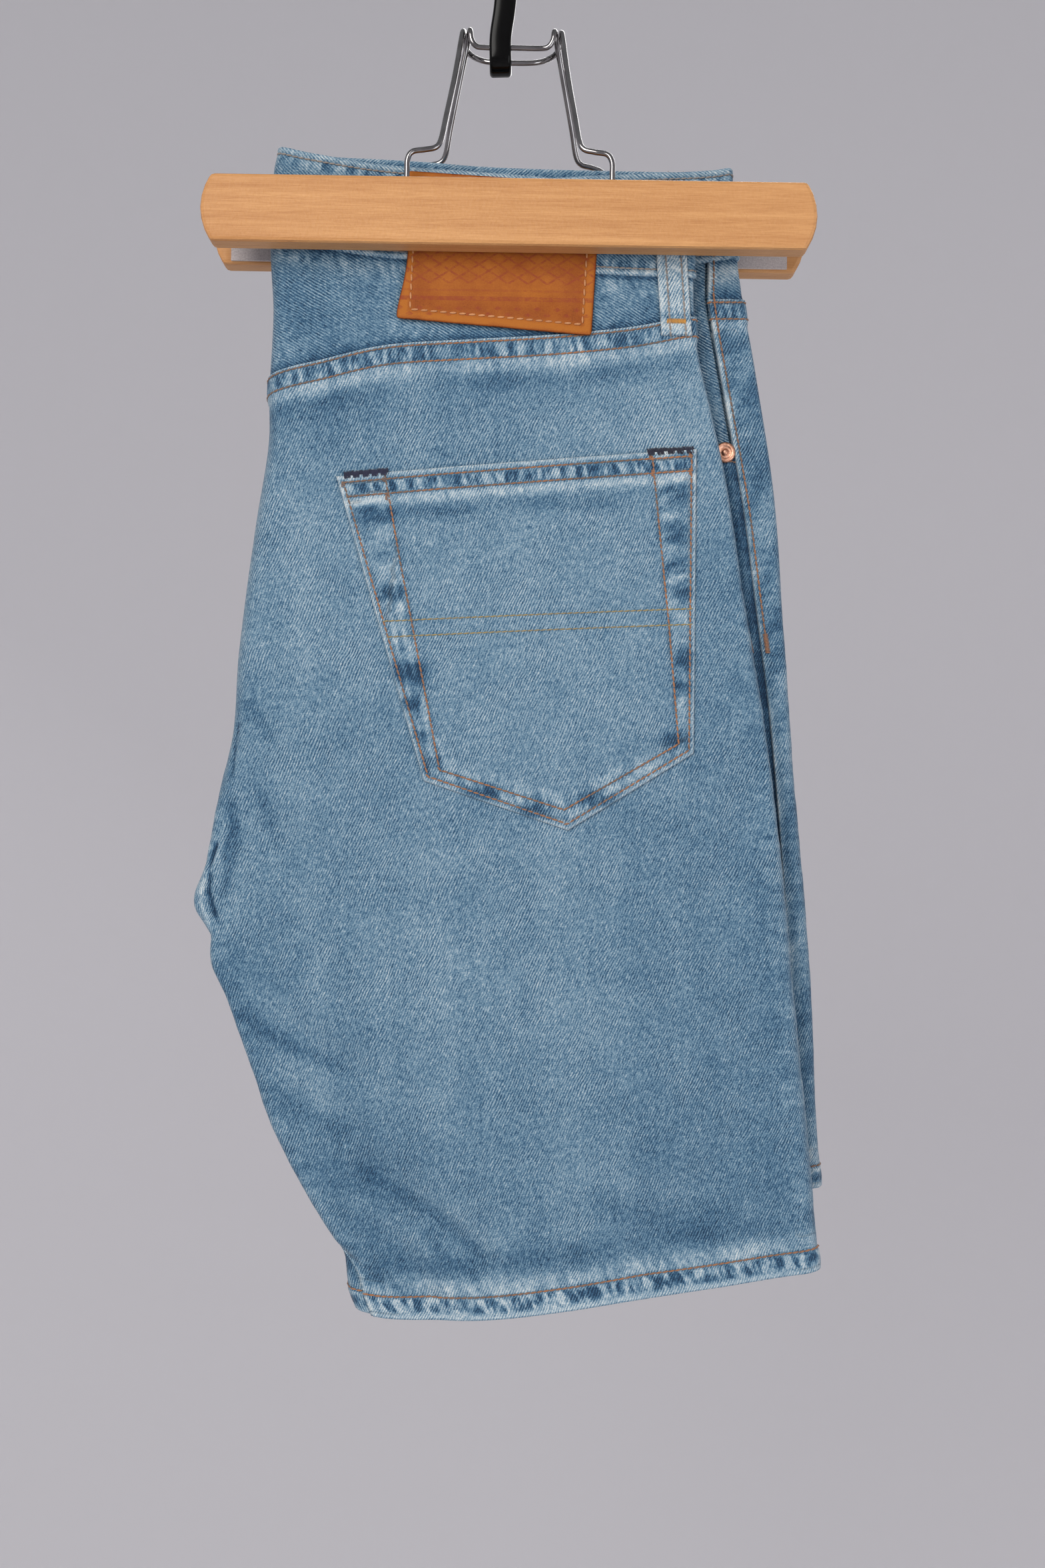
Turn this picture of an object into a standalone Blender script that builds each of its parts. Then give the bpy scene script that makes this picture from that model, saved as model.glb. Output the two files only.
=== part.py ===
"""Five-pocket denim shorts, folded in half along the centre back and clamped in a hanger.

Frame: metres, +Z up, +X to the right of the right back panel, +Y away from it. The origin is
the underside of the hook's crown, where a rail carries it. Sizes below are in millimetres.

The two halves of the shorts hang one behind the other: the near half (y < 0) is the right
leg, the far half (y > 0) the left. Each half is one surface, read at a height z and at a
place s along its section. s runs from the centre back (or the inseam, on the leg) at 0, along
the back panel, round the side fold near 9.5, and along the front panel to the centre front
(or the inseam again) at 19. Every sewn piece is a patch of that surface.
"""
from functools import lru_cache
from math import cos, exp, pi, radians, sin, sqrt

import bmesh
import bpy
from mathutils import Matrix, Vector

MM = 0.001
GAP = 0.3                    # between neighbouring pieces
SEAM_GAP = 0.55              # where a seam turns round a fold as it falls
CLOTH = 1.2                  # wall of a panel
BAND = 2.2                   # wall of the waistband, three layers of denim
BAND_HEIGHT = 38.3
NEAR, FAR = -1, 1            # side of the middle plane that a half hangs on

# --- outline of the halves: height, place of the edge -------------------------------------
BACK_FOLD = ((-105, -94.0), (-113, -95.4), (-124, -97.6), (-158, -98.8), (-182, -97.4),
             (-215, -98.6), (-236, -98.6), (-273, -103.7), (-323, -109.5), (-357, -111.2),
             (-390, -117.2), (-412, -120.6), (-425, -125.2), (-445, -127.0))
LEG_INNER_NEAR = ((-400, -122.0), (-425, -120.5), (-438, -117.4), (-452, -116.8), (-464, -111.0),
                  (-488, -101.7), (-521, -89.0), (-553, -71.0), (-568, -61.6), (-583, -58.8),
                  (-600, -52.0))
LEG_INNER_FAR = ((-400, -122.0), (-425, -120.0), (-438, -116.6), (-452, -114.4), (-464, -108.6),
                 (-488, -97.0), (-521, -81.0), (-553, -64.0), (-580, -56.0), (-600, -50.0))
FRONT_FOLD = ((-105, -84.0), (-160, -86.0), (-300, -97.0), (-390, -110.0), (-412, -117.0),
              (-424, -123.6), (-445, -125.0))
SIDE_NEAR = ((-105, 77.0), (-162, 76.3), (-194, 77.9), (-222, 84.3), (-253, 91.4), (-292, 97.5),
             (-332, 104.7), (-359, 109.2), (-417, 117.0), (-455, 120.8), (-532, 129.6),
             (-559, 132.4), (-576, 134.2), (-600, 135.5))
SIDE_FAR = ((-105, 91.0), (-160, 95.8), (-202, 103.4), (-252, 112.0), (-303, 116.5),
            (-370, 121.8), (-437, 129.0), (-470, 131.8), (-510, 134.0), (-545, 137.0),
            (-600, 139.0))
OUTSEAM_FAR = ((-105, 82.0), (-160, 83.0), (-174, 83.4), (-212, 90.4), (-259, 99.2),
               (-298, 104.8), (-348, 111.8), (-416, 118.4), (-457, 121.2), (-600, 128.0))
# height, place along the section at which the right outseam lies
OUTSEAM_NEAR = ((-105, 11.3), (-240, 11.1), (-310, 10.5), (-345, 9.6), (-600, 9.4))

# --- distance of the layers from the middle plane --------------------------------------------
# height | back panel at its inner edge, middle, side | front panel at side, middle, inner edge
DEPTH = ((-105, 6.9, 6.9, 6.9, 3.4, 3.4, 3.4),
         (-166, 6.9, 6.9, 6.9, 3.4, 3.4, 3.4),
         (-200, 7.6, 8.8, 7.2, 3.4, 3.7, 3.6),
         (-250, 8.6, 12.2, 8.4, 3.4, 4.4, 4.2),
         (-330, 8.8, 15.2, 9.8, 3.4, 5.0, 4.0),
         (-395, 8.0, 16.2, 10.8, 3.4, 5.2, 2.4),
         (-424, 7.4, 16.4, 11.2, 3.2, 5.0, 0.9),
         (-445, 9.6, 17.0, 11.8, 3.0, 4.4, 1.2),
         (-510, 13.0, 18.6, 13.0, 2.6, 3.4, 2.2),
         (-560, 14.6, 20.4, 13.8, 2.5, 2.8, 2.4),
         (-600, 14.6, 21.4, 14.0, 2.5, 2.6, 2.4))
SEAM_REACH = 9.0             # the centre back seam lies this far round the fold
INSEAM_REACH = 6.0           # the inseam lies this far round the leg's inner edge
FRONT_JOIN = 0.9             # depth at which the two fronts lie on each other
FRONT_CLOSES = (-230.0, -330.0)   # the fold at the centre front flattens between these heights
SEAM_TURNS = -330.0          # below this the centre back seam comes round to the fold
CROTCH = -424.0
LEG_STARTS = -441.0
INSEAM_TURNS = -520.0        # by here the inseam has come round to the back of the leg

# --- heights of the seams that run round a half: place along the section, height -------------
WAIST_NEAR = ((0, -113.6), (1.5, -113.2), (3, -117.3), (4, -121.4), (5, -123.4), (6, -125.3),
              (7, -127.3), (8, -128.0), (11, -128.0), (13, -129.0), (16, -132.7), (19, -133.0))
WAIST_FAR = ((0, -113.6), (3, -114.2), (6, -115.2), (9.5, -116.5), (11, -117.6), (13, -122.0),
             (16, -132.4), (19, -133.0))
YOKE_NEAR = ((0, -211.5), (1.5, -209.5), (3, -203.4), (4, -196.2), (5, -193.5), (6, -191.2),
             (7, -187.6), (8, -182.8), (9.5, -182.2), (12, -181.5))
YOKE_FAR = ((0, -211.5), (1.5, -209.0), (4, -199.5), (6, -189.0), (7, -181.0), (8, -173.0),
            (9.5, -172.3), (11, -172.6), (12, -174.0))
HEM_NEAR = ((0, -594.4), (1, -595.2), (3, -595.6), (4, -594.3), (5, -590.0), (6, -584.6),
            (7, -579.8), (8, -575.6), (9.5, -573.2), (12, -574.0), (14, -580.0), (16.5, -589.0),
            (19, -594.4))
HEM_FAR = ((0, -578.0), (3, -575.0), (5, -566.0), (7, -554.0), (8.4, -545.5), (9.5, -542.5),
           (12, -546.0), (14, -557.0), (16.5, -570.0), (19, -578.0))
POCKET_MOUTH_END = {NEAR: -243.0, FAR: -232.5}   # where a hand-pocket mouth meets the outseam
POCKET_MOUTH_WIDTH = 0.36                        # share of the front panel's width
HEM_BAND, HEM_GAP, HEM_WALL = 9.5, 0.45, 1.2
# rough heights at which places along a section are read for a seam that runs across it
BAND_LEVEL, POCKET_LEVEL, HEM_LEVEL = -166.0, -238.0, -570.0

# --- soft folds pressed into a back panel: start x, z, end x, z, half width, depth -------------
FOLDS_NEAR = ((-98, -470, -60, -492, 7, 2.2),
              (-92, -498, -58, -516, 7, 2.0),
              (-52, -532, -8, -566, 8, 2.8),
              (-104, -330, -84, -338, 9, 1.4),
              (-112, -392, -84, -402, 8, 1.8),
              (112, -350, 92, -420, 10, 1.2),
              (100, -520, 60, -566, 10, 1.6),
              (-44, -560, -24, -590, 7, 2.4))
FOLDS_FAR = ((-96, -480, -50, -500, 8, 2.2),
             (-60, -528, -4, -548, 9, 2.6),
             (-104, -345, -70, -356, 9, 1.4),
             (-108, -400, -76, -414, 8, 1.8),
             (96, -490, 52, -540, 10, 1.8))

# --- back pocket: corners x, z on the near half --------------------------------------------------
POCKET_TOP = ((-69.3, -251.0), (78.5, -237.3))
POCKET_FOOT = ((-31.1, -375.5), (27.9, -394.7), (79.0, -362.4))
POCKET_WALL, POCKET_GAP = 1.5, 0.4
POCKET_SHIFT_FAR = (-2.0, 3.5)    # the far pocket lies about the same, a little higher

# --- facings, leather patch, belt loops, metal ------------------------------------------------------
FACING_WALL = 1.0
FACING_UNDER = 9.0                # how far a facing reaches below the pocket mouth's rim
FACING_INSET = 0.03               # place, clear of the outseam
FLY_PLACES, FLY_FOOT = (17.2, 15.9), -290.0
PATCH_TOP = ((-43.9, -124.3), (36.6, -128.6))
PATCH_FOOT = ((-45.6, -185.6), (33.4, -191.6))
PATCH_WALL = 1.2
LOOP_WIDTH, LOOP_WALL = 12.6, 1.2
LOOP_DROP = {"back": 25.0, "front": 9.0}     # below the waistband
LOOP_RISE = 0.5                              # above the waistband
LOOP_BACK_PLACES = (0.2, 1.15)               # the loop on the centre back seam
LOOPS = (("loop_side_right", NEAR, "back", 68.0, 71.5),
         ("loop_side_left", FAR, "back", 70.0, 71.0),
         ("loop_front_right", NEAR, "front", -4.0, -4.0),
         ("loop_front_left", FAR, "front", 8.0, 8.0))
RIVET_RADIUS, RIVET_HEIGHT = 4.4, 1.3
RIVETS = (("rivet_left_side", FAR, 91.5, -236.4),
          ("rivet_left_front", FAR, -16.0, -177.0),
          ("rivet_right_side", NEAR, 84.0, -247.5),
          ("rivet_right_front", NEAR, -28.0, -182.0))
BUTTON_RADIUS, BUTTON_HEIGHT, BUTTON_PLACE = 8.5, 1.5, (-71.0, -150.0)

# --- hanger ---------------------------------------------------------------------------------------------
JAW_HALF, JAW_BULGE = 120.6, 4.2
JAW_TOP, JAW_FOOT = -131.2, -158.5
JAW_INNER, JAW_DEPTH = 11.5, 14.0
JAW_ROUND = 1.6
FELT_WALL, FELT_HALF, FELT_BELOW_EDGES = 1.2, 117.0, 2.0
WIRE = 2.3
WIRE_HOLE, WIRE_HOLE_DEPTH = 2.9, 10.8
WIRE_FOOT = -141.0
HOOK_WIDTH, HOOK_WALL, HOOK_ROUND = 9.0, 4.0, 0.9
HOOK_CROWN, HOOK_THROAT = 10.0, 3.5
HOOK_FOOT = -78.2                 # inner floor of the small bend that carries the wires
HOOK_LEAN = 3.2                   # degrees

for stale in list(bpy.data.objects):
    bpy.data.objects.remove(stale, do_unlink=True)


def collection(name):
    made = bpy.data.collections.new(name)
    bpy.context.scene.collection.children.link(made)
    return made


PARTS = collection("denim_shorts_on_hanger")
CUTTERS = collection("cutters")


# --- reading the tables ---------------------------------------------------------------------------------
def read(table, place, column=1):
    """A column of a table at a place between its rows, with smooth joins."""
    rows = table if table[0][0] < table[-1][0] else table[::-1]
    place = min(max(place, rows[0][0]), rows[-1][0])
    i = next(k for k in range(len(rows) - 1) if place <= rows[k + 1][0])

    def slope(k):
        low, high = rows[max(k - 1, 0)], rows[min(k + 1, len(rows) - 1)]
        return (high[column] - low[column]) / (high[0] - low[0])

    width = rows[i + 1][0] - rows[i][0]
    t = (place - rows[i][0]) / width
    start, end = rows[i][column], rows[i + 1][column]
    return (start * (1 + 2 * t) * (1 - t) ** 2 + end * t * t * (3 - 2 * t)
            + width * (slope(i) * t * (1 - t) ** 2 - slope(i + 1) * t * t * (1 - t)))


def ease(t):
    t = min(max(t, 0.0), 1.0)
    return t * t * (3 - 2 * t)


def fall(z, high, low):
    """0 above high, 1 below low, eased in between."""
    return ease((high - z) / (high - low))


def mix(a, b, t):
    return a + (b - a) * t


def mix_points(first, second, t):
    return [(mix(p[0], q[0], t), mix(p[1], q[1], t)) for p, q in zip(first, second)]


def bow(first, middle, last, t):
    """The parabola through three values at t = 0, 0.5 and 1."""
    return (first * (1 - t) * (1 - 2 * t) + 4 * middle * t * (1 - t) + last * t * (2 * t - 1))


# --- the section of a half ------------------------------------------------------------------------------
@lru_cache(maxsize=None)
def section(half, z):
    """Twenty control points (x, y) of a half at height z; places s = 0 to 19."""
    back_in, back_mid, back_side, front_side, front_mid, front_in = (
        half * read(DEPTH, z, column) for column in range(1, 7))
    edge = read(BACK_FOLD, z)
    inner = read(LEG_INNER_NEAR if half == NEAR else LEG_INNER_FAR, z)
    side = read(SIDE_NEAR if half == NEAR else SIDE_FAR, z)
    front_edge = read(FRONT_FOLD, z)

    reach = 1.8 * abs(back_in)
    if half == NEAR:
        seam_behind = [(edge + SEAM_REACH, -back_in), (edge, -back_in), (edge, back_in),
                       (edge + reach, back_in)]
    else:
        seam_behind = [(edge + SEAM_REACH + SEAM_GAP + step, back_in) for step in (0, 6, 12, 18)]
    seam_at_tip = [(edge, half * SEAM_GAP / 2), (edge, back_in / 2), (edge, back_in),
                   (edge + 0.5 * reach, back_in)]
    between = (back_in + front_in) / 2
    flap = 0.9 * abs(back_in - front_in)
    seam_on_fold = [(inner, between), (inner, (between + back_in) / 2), (inner, back_in),
                    (inner + flap, back_in)]
    seam_on_leg = [(inner + INSEAM_REACH + step, back_in) for step in (0, 5, 10, 16)]

    join = half * FRONT_JOIN
    front_rounded = [(front_edge + 0.9 * abs(front_in), front_in), (front_edge, front_in),
                     (front_edge, front_in / 2), (front_edge, half * GAP)]
    front_flat = [(front_edge + step, join) for step in (9, 6, 4.2, 2.4)]
    front_on_fold = [(inner + flap, front_in), (inner, front_in),
                     (inner, (between + front_in) / 2), (inner, between - half * SEAM_GAP)]
    front_on_leg = [(inner + flap, front_in), (inner, front_in), (inner, back_in),
                    (inner + INSEAM_REACH - SEAM_GAP, back_in)]

    if z >= CROTCH:
        start = mix_points(seam_behind, seam_at_tip, fall(z, SEAM_TURNS, CROTCH))
        end = mix_points(front_rounded, front_flat, fall(z, *FRONT_CLOSES))
    elif z >= LEG_STARTS:
        start = mix_points(seam_at_tip, seam_on_fold, fall(z, CROTCH, LEG_STARTS))
        end = mix_points(front_flat, front_on_fold, fall(z, CROTCH, LEG_STARTS))
    else:
        start = mix_points(seam_on_fold, seam_on_leg, fall(z, LEG_STARTS, INSEAM_TURNS))
        end = mix_points(front_on_fold, front_on_leg, fall(z, LEG_STARTS, INSEAM_TURNS))

    round_side = 0.9 * abs(back_side - front_side)
    corner = [(side - round_side, back_side), (side, back_side), (side, front_side),
              (side - round_side, front_side)]
    fifths = (0.2, 0.4, 0.6, 0.8)
    back = [(mix(start[3][0], corner[0][0], f), bow(start[3][1], back_mid, back_side, f))
            for f in fifths]
    front = [(mix(corner[3][0], end[0][0], f), bow(front_side, front_mid, end[0][1], f))
             for f in fifths]
    return tuple(start + back + corner + front + end)


def spline(points, s):
    """A cubic B-spline on the control points that starts and ends at the first and last."""
    i = min(int(s), len(points) - 2)
    t = s - i
    first, last = points[0], points[-1]
    before = points[i - 1] if i else [2 * a - b for a, b in zip(first, points[1])]
    after = points[i + 2] if i + 2 < len(points) else [2 * a - b for a, b in zip(last, points[-2])]
    weights = ((1 - t) ** 3, 3 * t ** 3 - 6 * t * t + 4, -3 * t ** 3 + 3 * t * t + 3 * t + 1, t ** 3)
    knots = (before, points[i], points[i + 1], after)
    return [sum(w * knot[axis] for w, knot in zip(weights, knots)) / 6 for axis in range(2)]


def fold_depth(folds, x, z):
    """How far the soft folds press the cloth in at a point of a back panel."""
    depth = 0.0
    for x0, z0, x1, z1, width, most in folds:
        run = Vector((x1 - x0, z1 - z0))
        way = Vector((x - x0, z - z0))
        along = min(max(way.dot(run) / run.length_squared, 0.0), 1.0)
        away = (way - run * along).length / width
        depth += most * exp(-away * away)
    return depth


def cloth(half, s, z, lift=0.0):
    """A point of a half's surface, moved out of the cloth by lift."""
    def bare(place, height):
        x, y = spline(section(half, round(height, 3)), place)
        on_back = ease((place - 2.4) / 1.2) * ease((9.4 - place) / 1.0)
        folds = FOLDS_NEAR if half == NEAR else FOLDS_FAR
        y -= half * on_back * fold_depth(folds, x, height)
        return Vector((x, y, height))

    point = bare(s, z)
    if lift:
        before, after = max(s - 0.05, 0.0), min(s + 0.05, 19.0)
        across = bare(after, z) - bare(before, z)
        up = bare(s, z + 1.0) - bare(s, z - 1.0)
        point += across.cross(up).normalized() * (-half * lift)
    return point


def place_of(half, x, z, low, high):
    """The place s between low and high at which a half's section passes x."""
    rising = cloth(half, high, z).x > cloth(half, low, z).x
    for _ in range(24):
        middle = (low + high) / 2
        if (cloth(half, middle, z).x < x) == rising:
            low = middle
        else:
            high = middle
    return (low + high) / 2


def on_back(half, x, z, lift=0.0):
    return cloth(half, place_of(half, x, z, 2.6, 9.2), z, lift)


def on_front(half, x, z, lift=0.0):
    return cloth(half, place_of(half, x, z, 10.6, 17.0), z, lift)


# --- making objects -------------------------------------------------------------------------------------
def material(name, colour, roughness, metallic=0.0):
    made = bpy.data.materials.get(name)
    if made is None:
        made = bpy.data.materials.new(name)
        made.use_nodes = True
        shader = made.node_tree.nodes["Principled BSDF"]
        shader.inputs["Base Color"].default_value = (*colour, 1.0)
        shader.inputs["Roughness"].default_value = roughness
        shader.inputs["Metallic"].default_value = metallic
    return made


DENIM = material("washed_denim", (0.28, 0.38, 0.52), 0.85)
DARK_DENIM = material("unwashed_denim", (0.08, 0.12, 0.22), 0.85)
LEATHER = material("tan_leather", (0.45, 0.20, 0.06), 0.55)
COPPER = material("copper", (0.72, 0.35, 0.20), 0.35, 1.0)
BEECH = material("beech", (0.68, 0.38, 0.17), 0.45)
FELT = material("felt", (0.72, 0.72, 0.70), 0.95)
CHROME = material("chrome", (0.80, 0.80, 0.82), 0.12, 1.0)
BLACK = material("black_coating", (0.01, 0.01, 0.012), 0.25)


def add_object(name, data, finish):
    made = bpy.data.objects.new(name, data)
    PARTS.objects.link(made)
    data.materials.append(finish)
    return made


def adopt(made, home):
    """Moves an object that an operator made into one of the collections."""
    for old_home in list(made.users_collection):
        old_home.objects.unlink(made)
    home.objects.link(made)


def grid_object(name, columns, rows, point, wall, finish, closed=False):
    """A wall of cloth: a grid of points in millimetres with a thickness, half on each side."""
    shape = bmesh.new()
    bmesh.ops.create_grid(shape, x_segments=len(columns) - 1, y_segments=len(rows) - 1, size=1.0)
    shape.verts.ensure_lookup_table()
    last_column, last_row = len(columns) - 1, len(rows) - 1
    for vert in shape.verts:
        u = columns[round((vert.co.x + 1) / 2 * last_column)]
        v = rows[round((1 - vert.co.y) / 2 * last_row)]
        vert.co = point(u, v) * MM
    if closed:
        bmesh.ops.remove_doubles(shape, verts=shape.verts, dist=0.02 * MM)
    bmesh.ops.recalc_face_normals(shape, faces=shape.faces)
    mesh = bpy.data.meshes.new(name)
    shape.to_mesh(mesh)
    shape.free()
    mesh.shade_smooth()
    made = add_object(name, mesh, finish)
    shell = made.modifiers.new("wall", 'SOLIDIFY')
    shell.thickness = wall * MM
    shell.offset = 0.0
    shell.use_even_offset = True
    return made


def steps(count, start=0.0, end=1.0):
    return [mix(start, end, k / count) for k in range(count + 1)]


def places(*runs):
    """Places along a section from runs of (start, end, number of steps)."""
    listed = [runs[0][0]]
    for start, end, count in runs:
        listed += steps(count, start, end)[1:]
    return listed


# --- seams round the halves -----------------------------------------------------------------------------
def waist(half, s):
    return read(WAIST_NEAR if half == NEAR else WAIST_FAR, s)


def band_foot(half, s):
    return waist(half, s) - BAND_HEIGHT


def yoke_seam(half, s):
    return read(YOKE_NEAR if half == NEAR else YOKE_FAR, s)


def hem(half, s):
    return read(HEM_NEAR if half == NEAR else HEM_FAR, s)


@lru_cache(maxsize=None)
def outseam(half, z):
    if half == NEAR:
        return read(OUTSEAM_NEAR, z)
    return place_of(FAR, read(OUTSEAM_FAR, z), z, 10.4, 13.0)


def seam_gap(half, s, z):
    """SEAM_GAP as a difference in place, at a place on the section."""
    step = 0.02
    return SEAM_GAP * step / max((cloth(half, s + step, z) - cloth(half, s, z)).length, 1e-4)


def back_place(half, place, z):
    """The true place of a back column; columns run from 0 to 11, where 11 is the outseam."""
    return place * outseam(half, z) / 11.0


def front_place(half, u, z):
    seam = outseam(half, z)
    return mix(seam + seam_gap(half, seam, z), 19.0, u)


def mouth(half, u):
    """Top edge of a front panel: the scoop of the hand pocket, then the waistband seam."""
    rim = band_foot(half, front_place(half, max(u, POCKET_MOUTH_WIDTH), BAND_LEVEL)) - GAP
    drop = 1 - sqrt(max(1 - (u / POCKET_MOUTH_WIDTH) ** 2, 0.0)) if u < POCKET_MOUTH_WIDTH else 1.0
    return mix(POCKET_MOUTH_END[half], rim, drop)


def mouth_line(half, place):
    """A row of the back panel that meets the pocket mouth's end at the outseam."""
    return mix(POCKET_LEVEL, POCKET_MOUTH_END[half], place / 11.0)


def staged(v, *heights):
    """A height at v: 0 is the first height, 1 the second and so on, straight in between."""
    stage = min(int(v), len(heights) - 2)
    return mix(heights[stage], heights[stage + 1], v - stage)


# --- panels ---------------------------------------------------------------------------------------------
# a narrow column beside each seam keeps the wall's edge square to the cloth
BACK_COLUMNS = {NEAR: places((0, 0.1, 1), (0.1, 1, 2), (1, 3, 5), (3, 8, 13), (8, 9, 2), (9, 10, 4),
                             (10, 10.9, 2), (10.9, 11, 1)),
                FAR: places((0, 0.1, 1), (0.1, 3, 5), (3, 8, 7), (8, 9, 2), (9, 10, 4),
                            (10, 10.9, 2), (10.9, 11, 1))}
FRONT_COLUMNS = [0, 0.012, 0.08, 0.17, 0.25, 0.31, 0.35, 0.38, 0.54, 0.70, 0.79, 0.86, 0.91, 0.95,
                 0.99, 1.0]
UPPER_ROWS, LOWER_ROWS = 9, 9     # from the pocket mouth to the crotch, and on to the hem
BELOW_CROTCH = 0.055              # share of the lower rows' height at which one more row lies
SIDES = {NEAR: "right", FAR: "left"}


def yoke(half):
    def point(place, v):
        top = band_foot(half, back_place(half, place, BAND_LEVEL)) - GAP
        z = mix(top, yoke_seam(half, place), v)
        return cloth(half, back_place(half, place, z), z)
    return grid_object(f"yoke_{SIDES[half]}", BACK_COLUMNS[half], steps(3), point, CLOTH, DENIM)


def back_panel(half):
    rows = places((0, 1, 2), (1, 2, UPPER_ROWS), (2, 2 + BELOW_CROTCH, 1))
    rows += steps(LOWER_ROWS, 2, 3)[1:] + [4]

    def point(place, v):
        foot = hem(half, back_place(half, place, HEM_LEVEL))
        z = staged(v, yoke_seam(half, place) - GAP, mouth_line(half, place), CROTCH,
                   foot + HEM_BAND + GAP, foot)
        return cloth(half, back_place(half, place, z), z)
    return grid_object(f"back_{SIDES[half]}", BACK_COLUMNS[half], rows, point, CLOTH, DENIM)


def front_panel(half):
    rows = steps(UPPER_ROWS) + [1 + BELOW_CROTCH] + steps(LOWER_ROWS, 1, 2)[1:] + [3]

    def point(u, v):
        foot = hem(half, front_place(half, u, HEM_LEVEL))
        z = staged(v, mouth(half, u), CROTCH, foot + HEM_BAND + GAP, foot)
        return cloth(half, front_place(half, u, z), z)
    return grid_object(f"front_{SIDES[half]}", FRONT_COLUMNS, rows, point, CLOTH, DENIM)


def facing(half):
    """The denim behind a hand-pocket mouth, just inside the front panel."""
    def point(u, v):
        top = band_foot(half, front_place(half, u, BAND_LEVEL)) - GAP
        z = mix(top, mouth(half, u) - FACING_UNDER, v)
        place = front_place(half, u, z) + FACING_INSET
        return cloth(half, place, z, -(CLOTH / 2 + GAP + FACING_WALL / 2))
    return grid_object(f"facing_{SIDES[half]}", steps(7, 0.0, POCKET_MOUTH_WIDTH - 0.01),
                       steps(4), point, FACING_WALL, DARK_DENIM)


for half in SIDES:
    yoke(half)
    back_panel(half)
    front_panel(half)
    facing(half)


# --- waistband ------------------------------------------------------------------------------------------
def ring_places(half, z):
    """Places round a half at a height, those of its panels' columns."""
    back = [back_place(half, place, z) for place in BACK_COLUMNS[half]]
    return back + [front_place(half, u, z) for u in FRONT_COLUMNS[1:]]


def waistband():
    """One ribbon round the ring, from the right centre front to the left one."""
    stations = [(NEAR, s) for s in ring_places(NEAR, BAND_LEVEL)[:0:-1]]
    stations += [(FAR, s) for s in ring_places(FAR, BAND_LEVEL)]

    def point(u, v):
        half, s = stations[round(u)]
        return cloth(half, s, waist(half, s) - BAND_HEIGHT * v)
    return grid_object("waistband", range(len(stations)), steps(2), point, BAND, DENIM)


waistband()


# --- turned-up hems -------------------------------------------------------------------------------------
def hem_band(half):
    """A closed ring inside a leg end."""
    around = ring_places(half, HEM_LEVEL)[:-1]

    def point(u, v):
        s = around[round(u) % len(around)]
        z = hem(half, s) + GAP + HEM_BAND * (1 - v)
        return cloth(half, s, z, -(CLOTH / 2 + HEM_GAP + HEM_WALL / 2))
    return grid_object(f"hem_{SIDES[half]}", range(len(around) + 1), steps(1), point, HEM_WALL,
                       DENIM, closed=True)


for half in SIDES:
    hem_band(half)


# --- back pockets ---------------------------------------------------------------------------------------
def pocket(name, half, columns, rows):
    shift_x, shift_z = (0.0, 0.0) if half == NEAR else POCKET_SHIFT_FAR
    (left, tip, right) = POCKET_FOOT
    tip_share = (tip[0] - left[0]) / (right[0] - left[0])

    def point(u, v):
        top_x = mix(POCKET_TOP[0][0], POCKET_TOP[1][0], u)
        top_z = mix(POCKET_TOP[0][1], POCKET_TOP[1][1], u)
        if u <= tip_share:
            foot = [mix(a, b, u / tip_share) for a, b in zip(left, tip)]
        else:
            foot = [mix(a, b, (u - tip_share) / (1 - tip_share)) for a, b in zip(tip, right)]
        x, z = mix(top_x, foot[0], v) + shift_x, mix(top_z, foot[1], v) + shift_z
        return on_back(half, x, z, CLOTH / 2 + POCKET_GAP + POCKET_WALL / 2)

    across = steps(columns, 0.0, tip_share) + steps(columns, tip_share, 1.0)[1:]
    return grid_object(name, across, steps(rows), point, POCKET_WALL, DENIM)


pocket("pocket_back_right", NEAR, 6, 10)
pocket("pocket_back_left", FAR, 5, 8)


# --- patch and belt loops -------------------------------------------------------------------------------
def patch_point(u, v):
    x = mix(mix(PATCH_TOP[0][0], PATCH_TOP[1][0], u), mix(PATCH_FOOT[0][0], PATCH_FOOT[1][0], u), v)
    z = mix(mix(PATCH_TOP[0][1], PATCH_TOP[1][1], u), mix(PATCH_FOOT[0][1], PATCH_FOOT[1][1], u), v)
    lifted = 0.8 * ease((v - 0.75) / 0.25)
    return Vector((x, on_back(NEAR, x, z).y - BAND / 2 - GAP - PATCH_WALL / 2 - lifted, z))


grid_object("patch", steps(8), steps(6), patch_point, PATCH_WALL, LEATHER)


def belt_loop(name, half, panel, x_top, x_foot):
    """A flat strip over the waistband, outside the cloth."""
    find = on_back if panel == "back" else on_front
    span = (2.6, 9.2) if panel == "back" else (10.6, 17.0)
    top = waist(half, place_of(half, x_top, BAND_LEVEL, *span)) + LOOP_RISE
    drop = BAND_HEIGHT + LOOP_DROP[panel]
    out = BAND / 2 + GAP + LOOP_WALL / 2

    def point(u, v):
        middle = mix(x_top, x_foot, v)
        place = find(half, middle - 2.0, top - drop * v, out)
        return Vector((middle + LOOP_WIDTH * (u - 0.5), place.y, top - drop * v))
    return grid_object(name, steps(1), steps(7), point, LOOP_WALL, DENIM)


for loop_row in LOOPS:
    belt_loop(*loop_row)


def loop_back():
    """The loop on the centre back seam, which lies on the far side of the fold."""
    def point(u, v):
        s = mix(*LOOP_BACK_PLACES, u)
        z = waist(FAR, s) + LOOP_RISE - (BAND_HEIGHT + LOOP_DROP["back"]) * v
        return cloth(FAR, s, z, BAND / 2 + GAP + LOOP_WALL / 2)
    return grid_object("loop_back", steps(2), steps(7), point, LOOP_WALL, DENIM)


loop_back()


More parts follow.
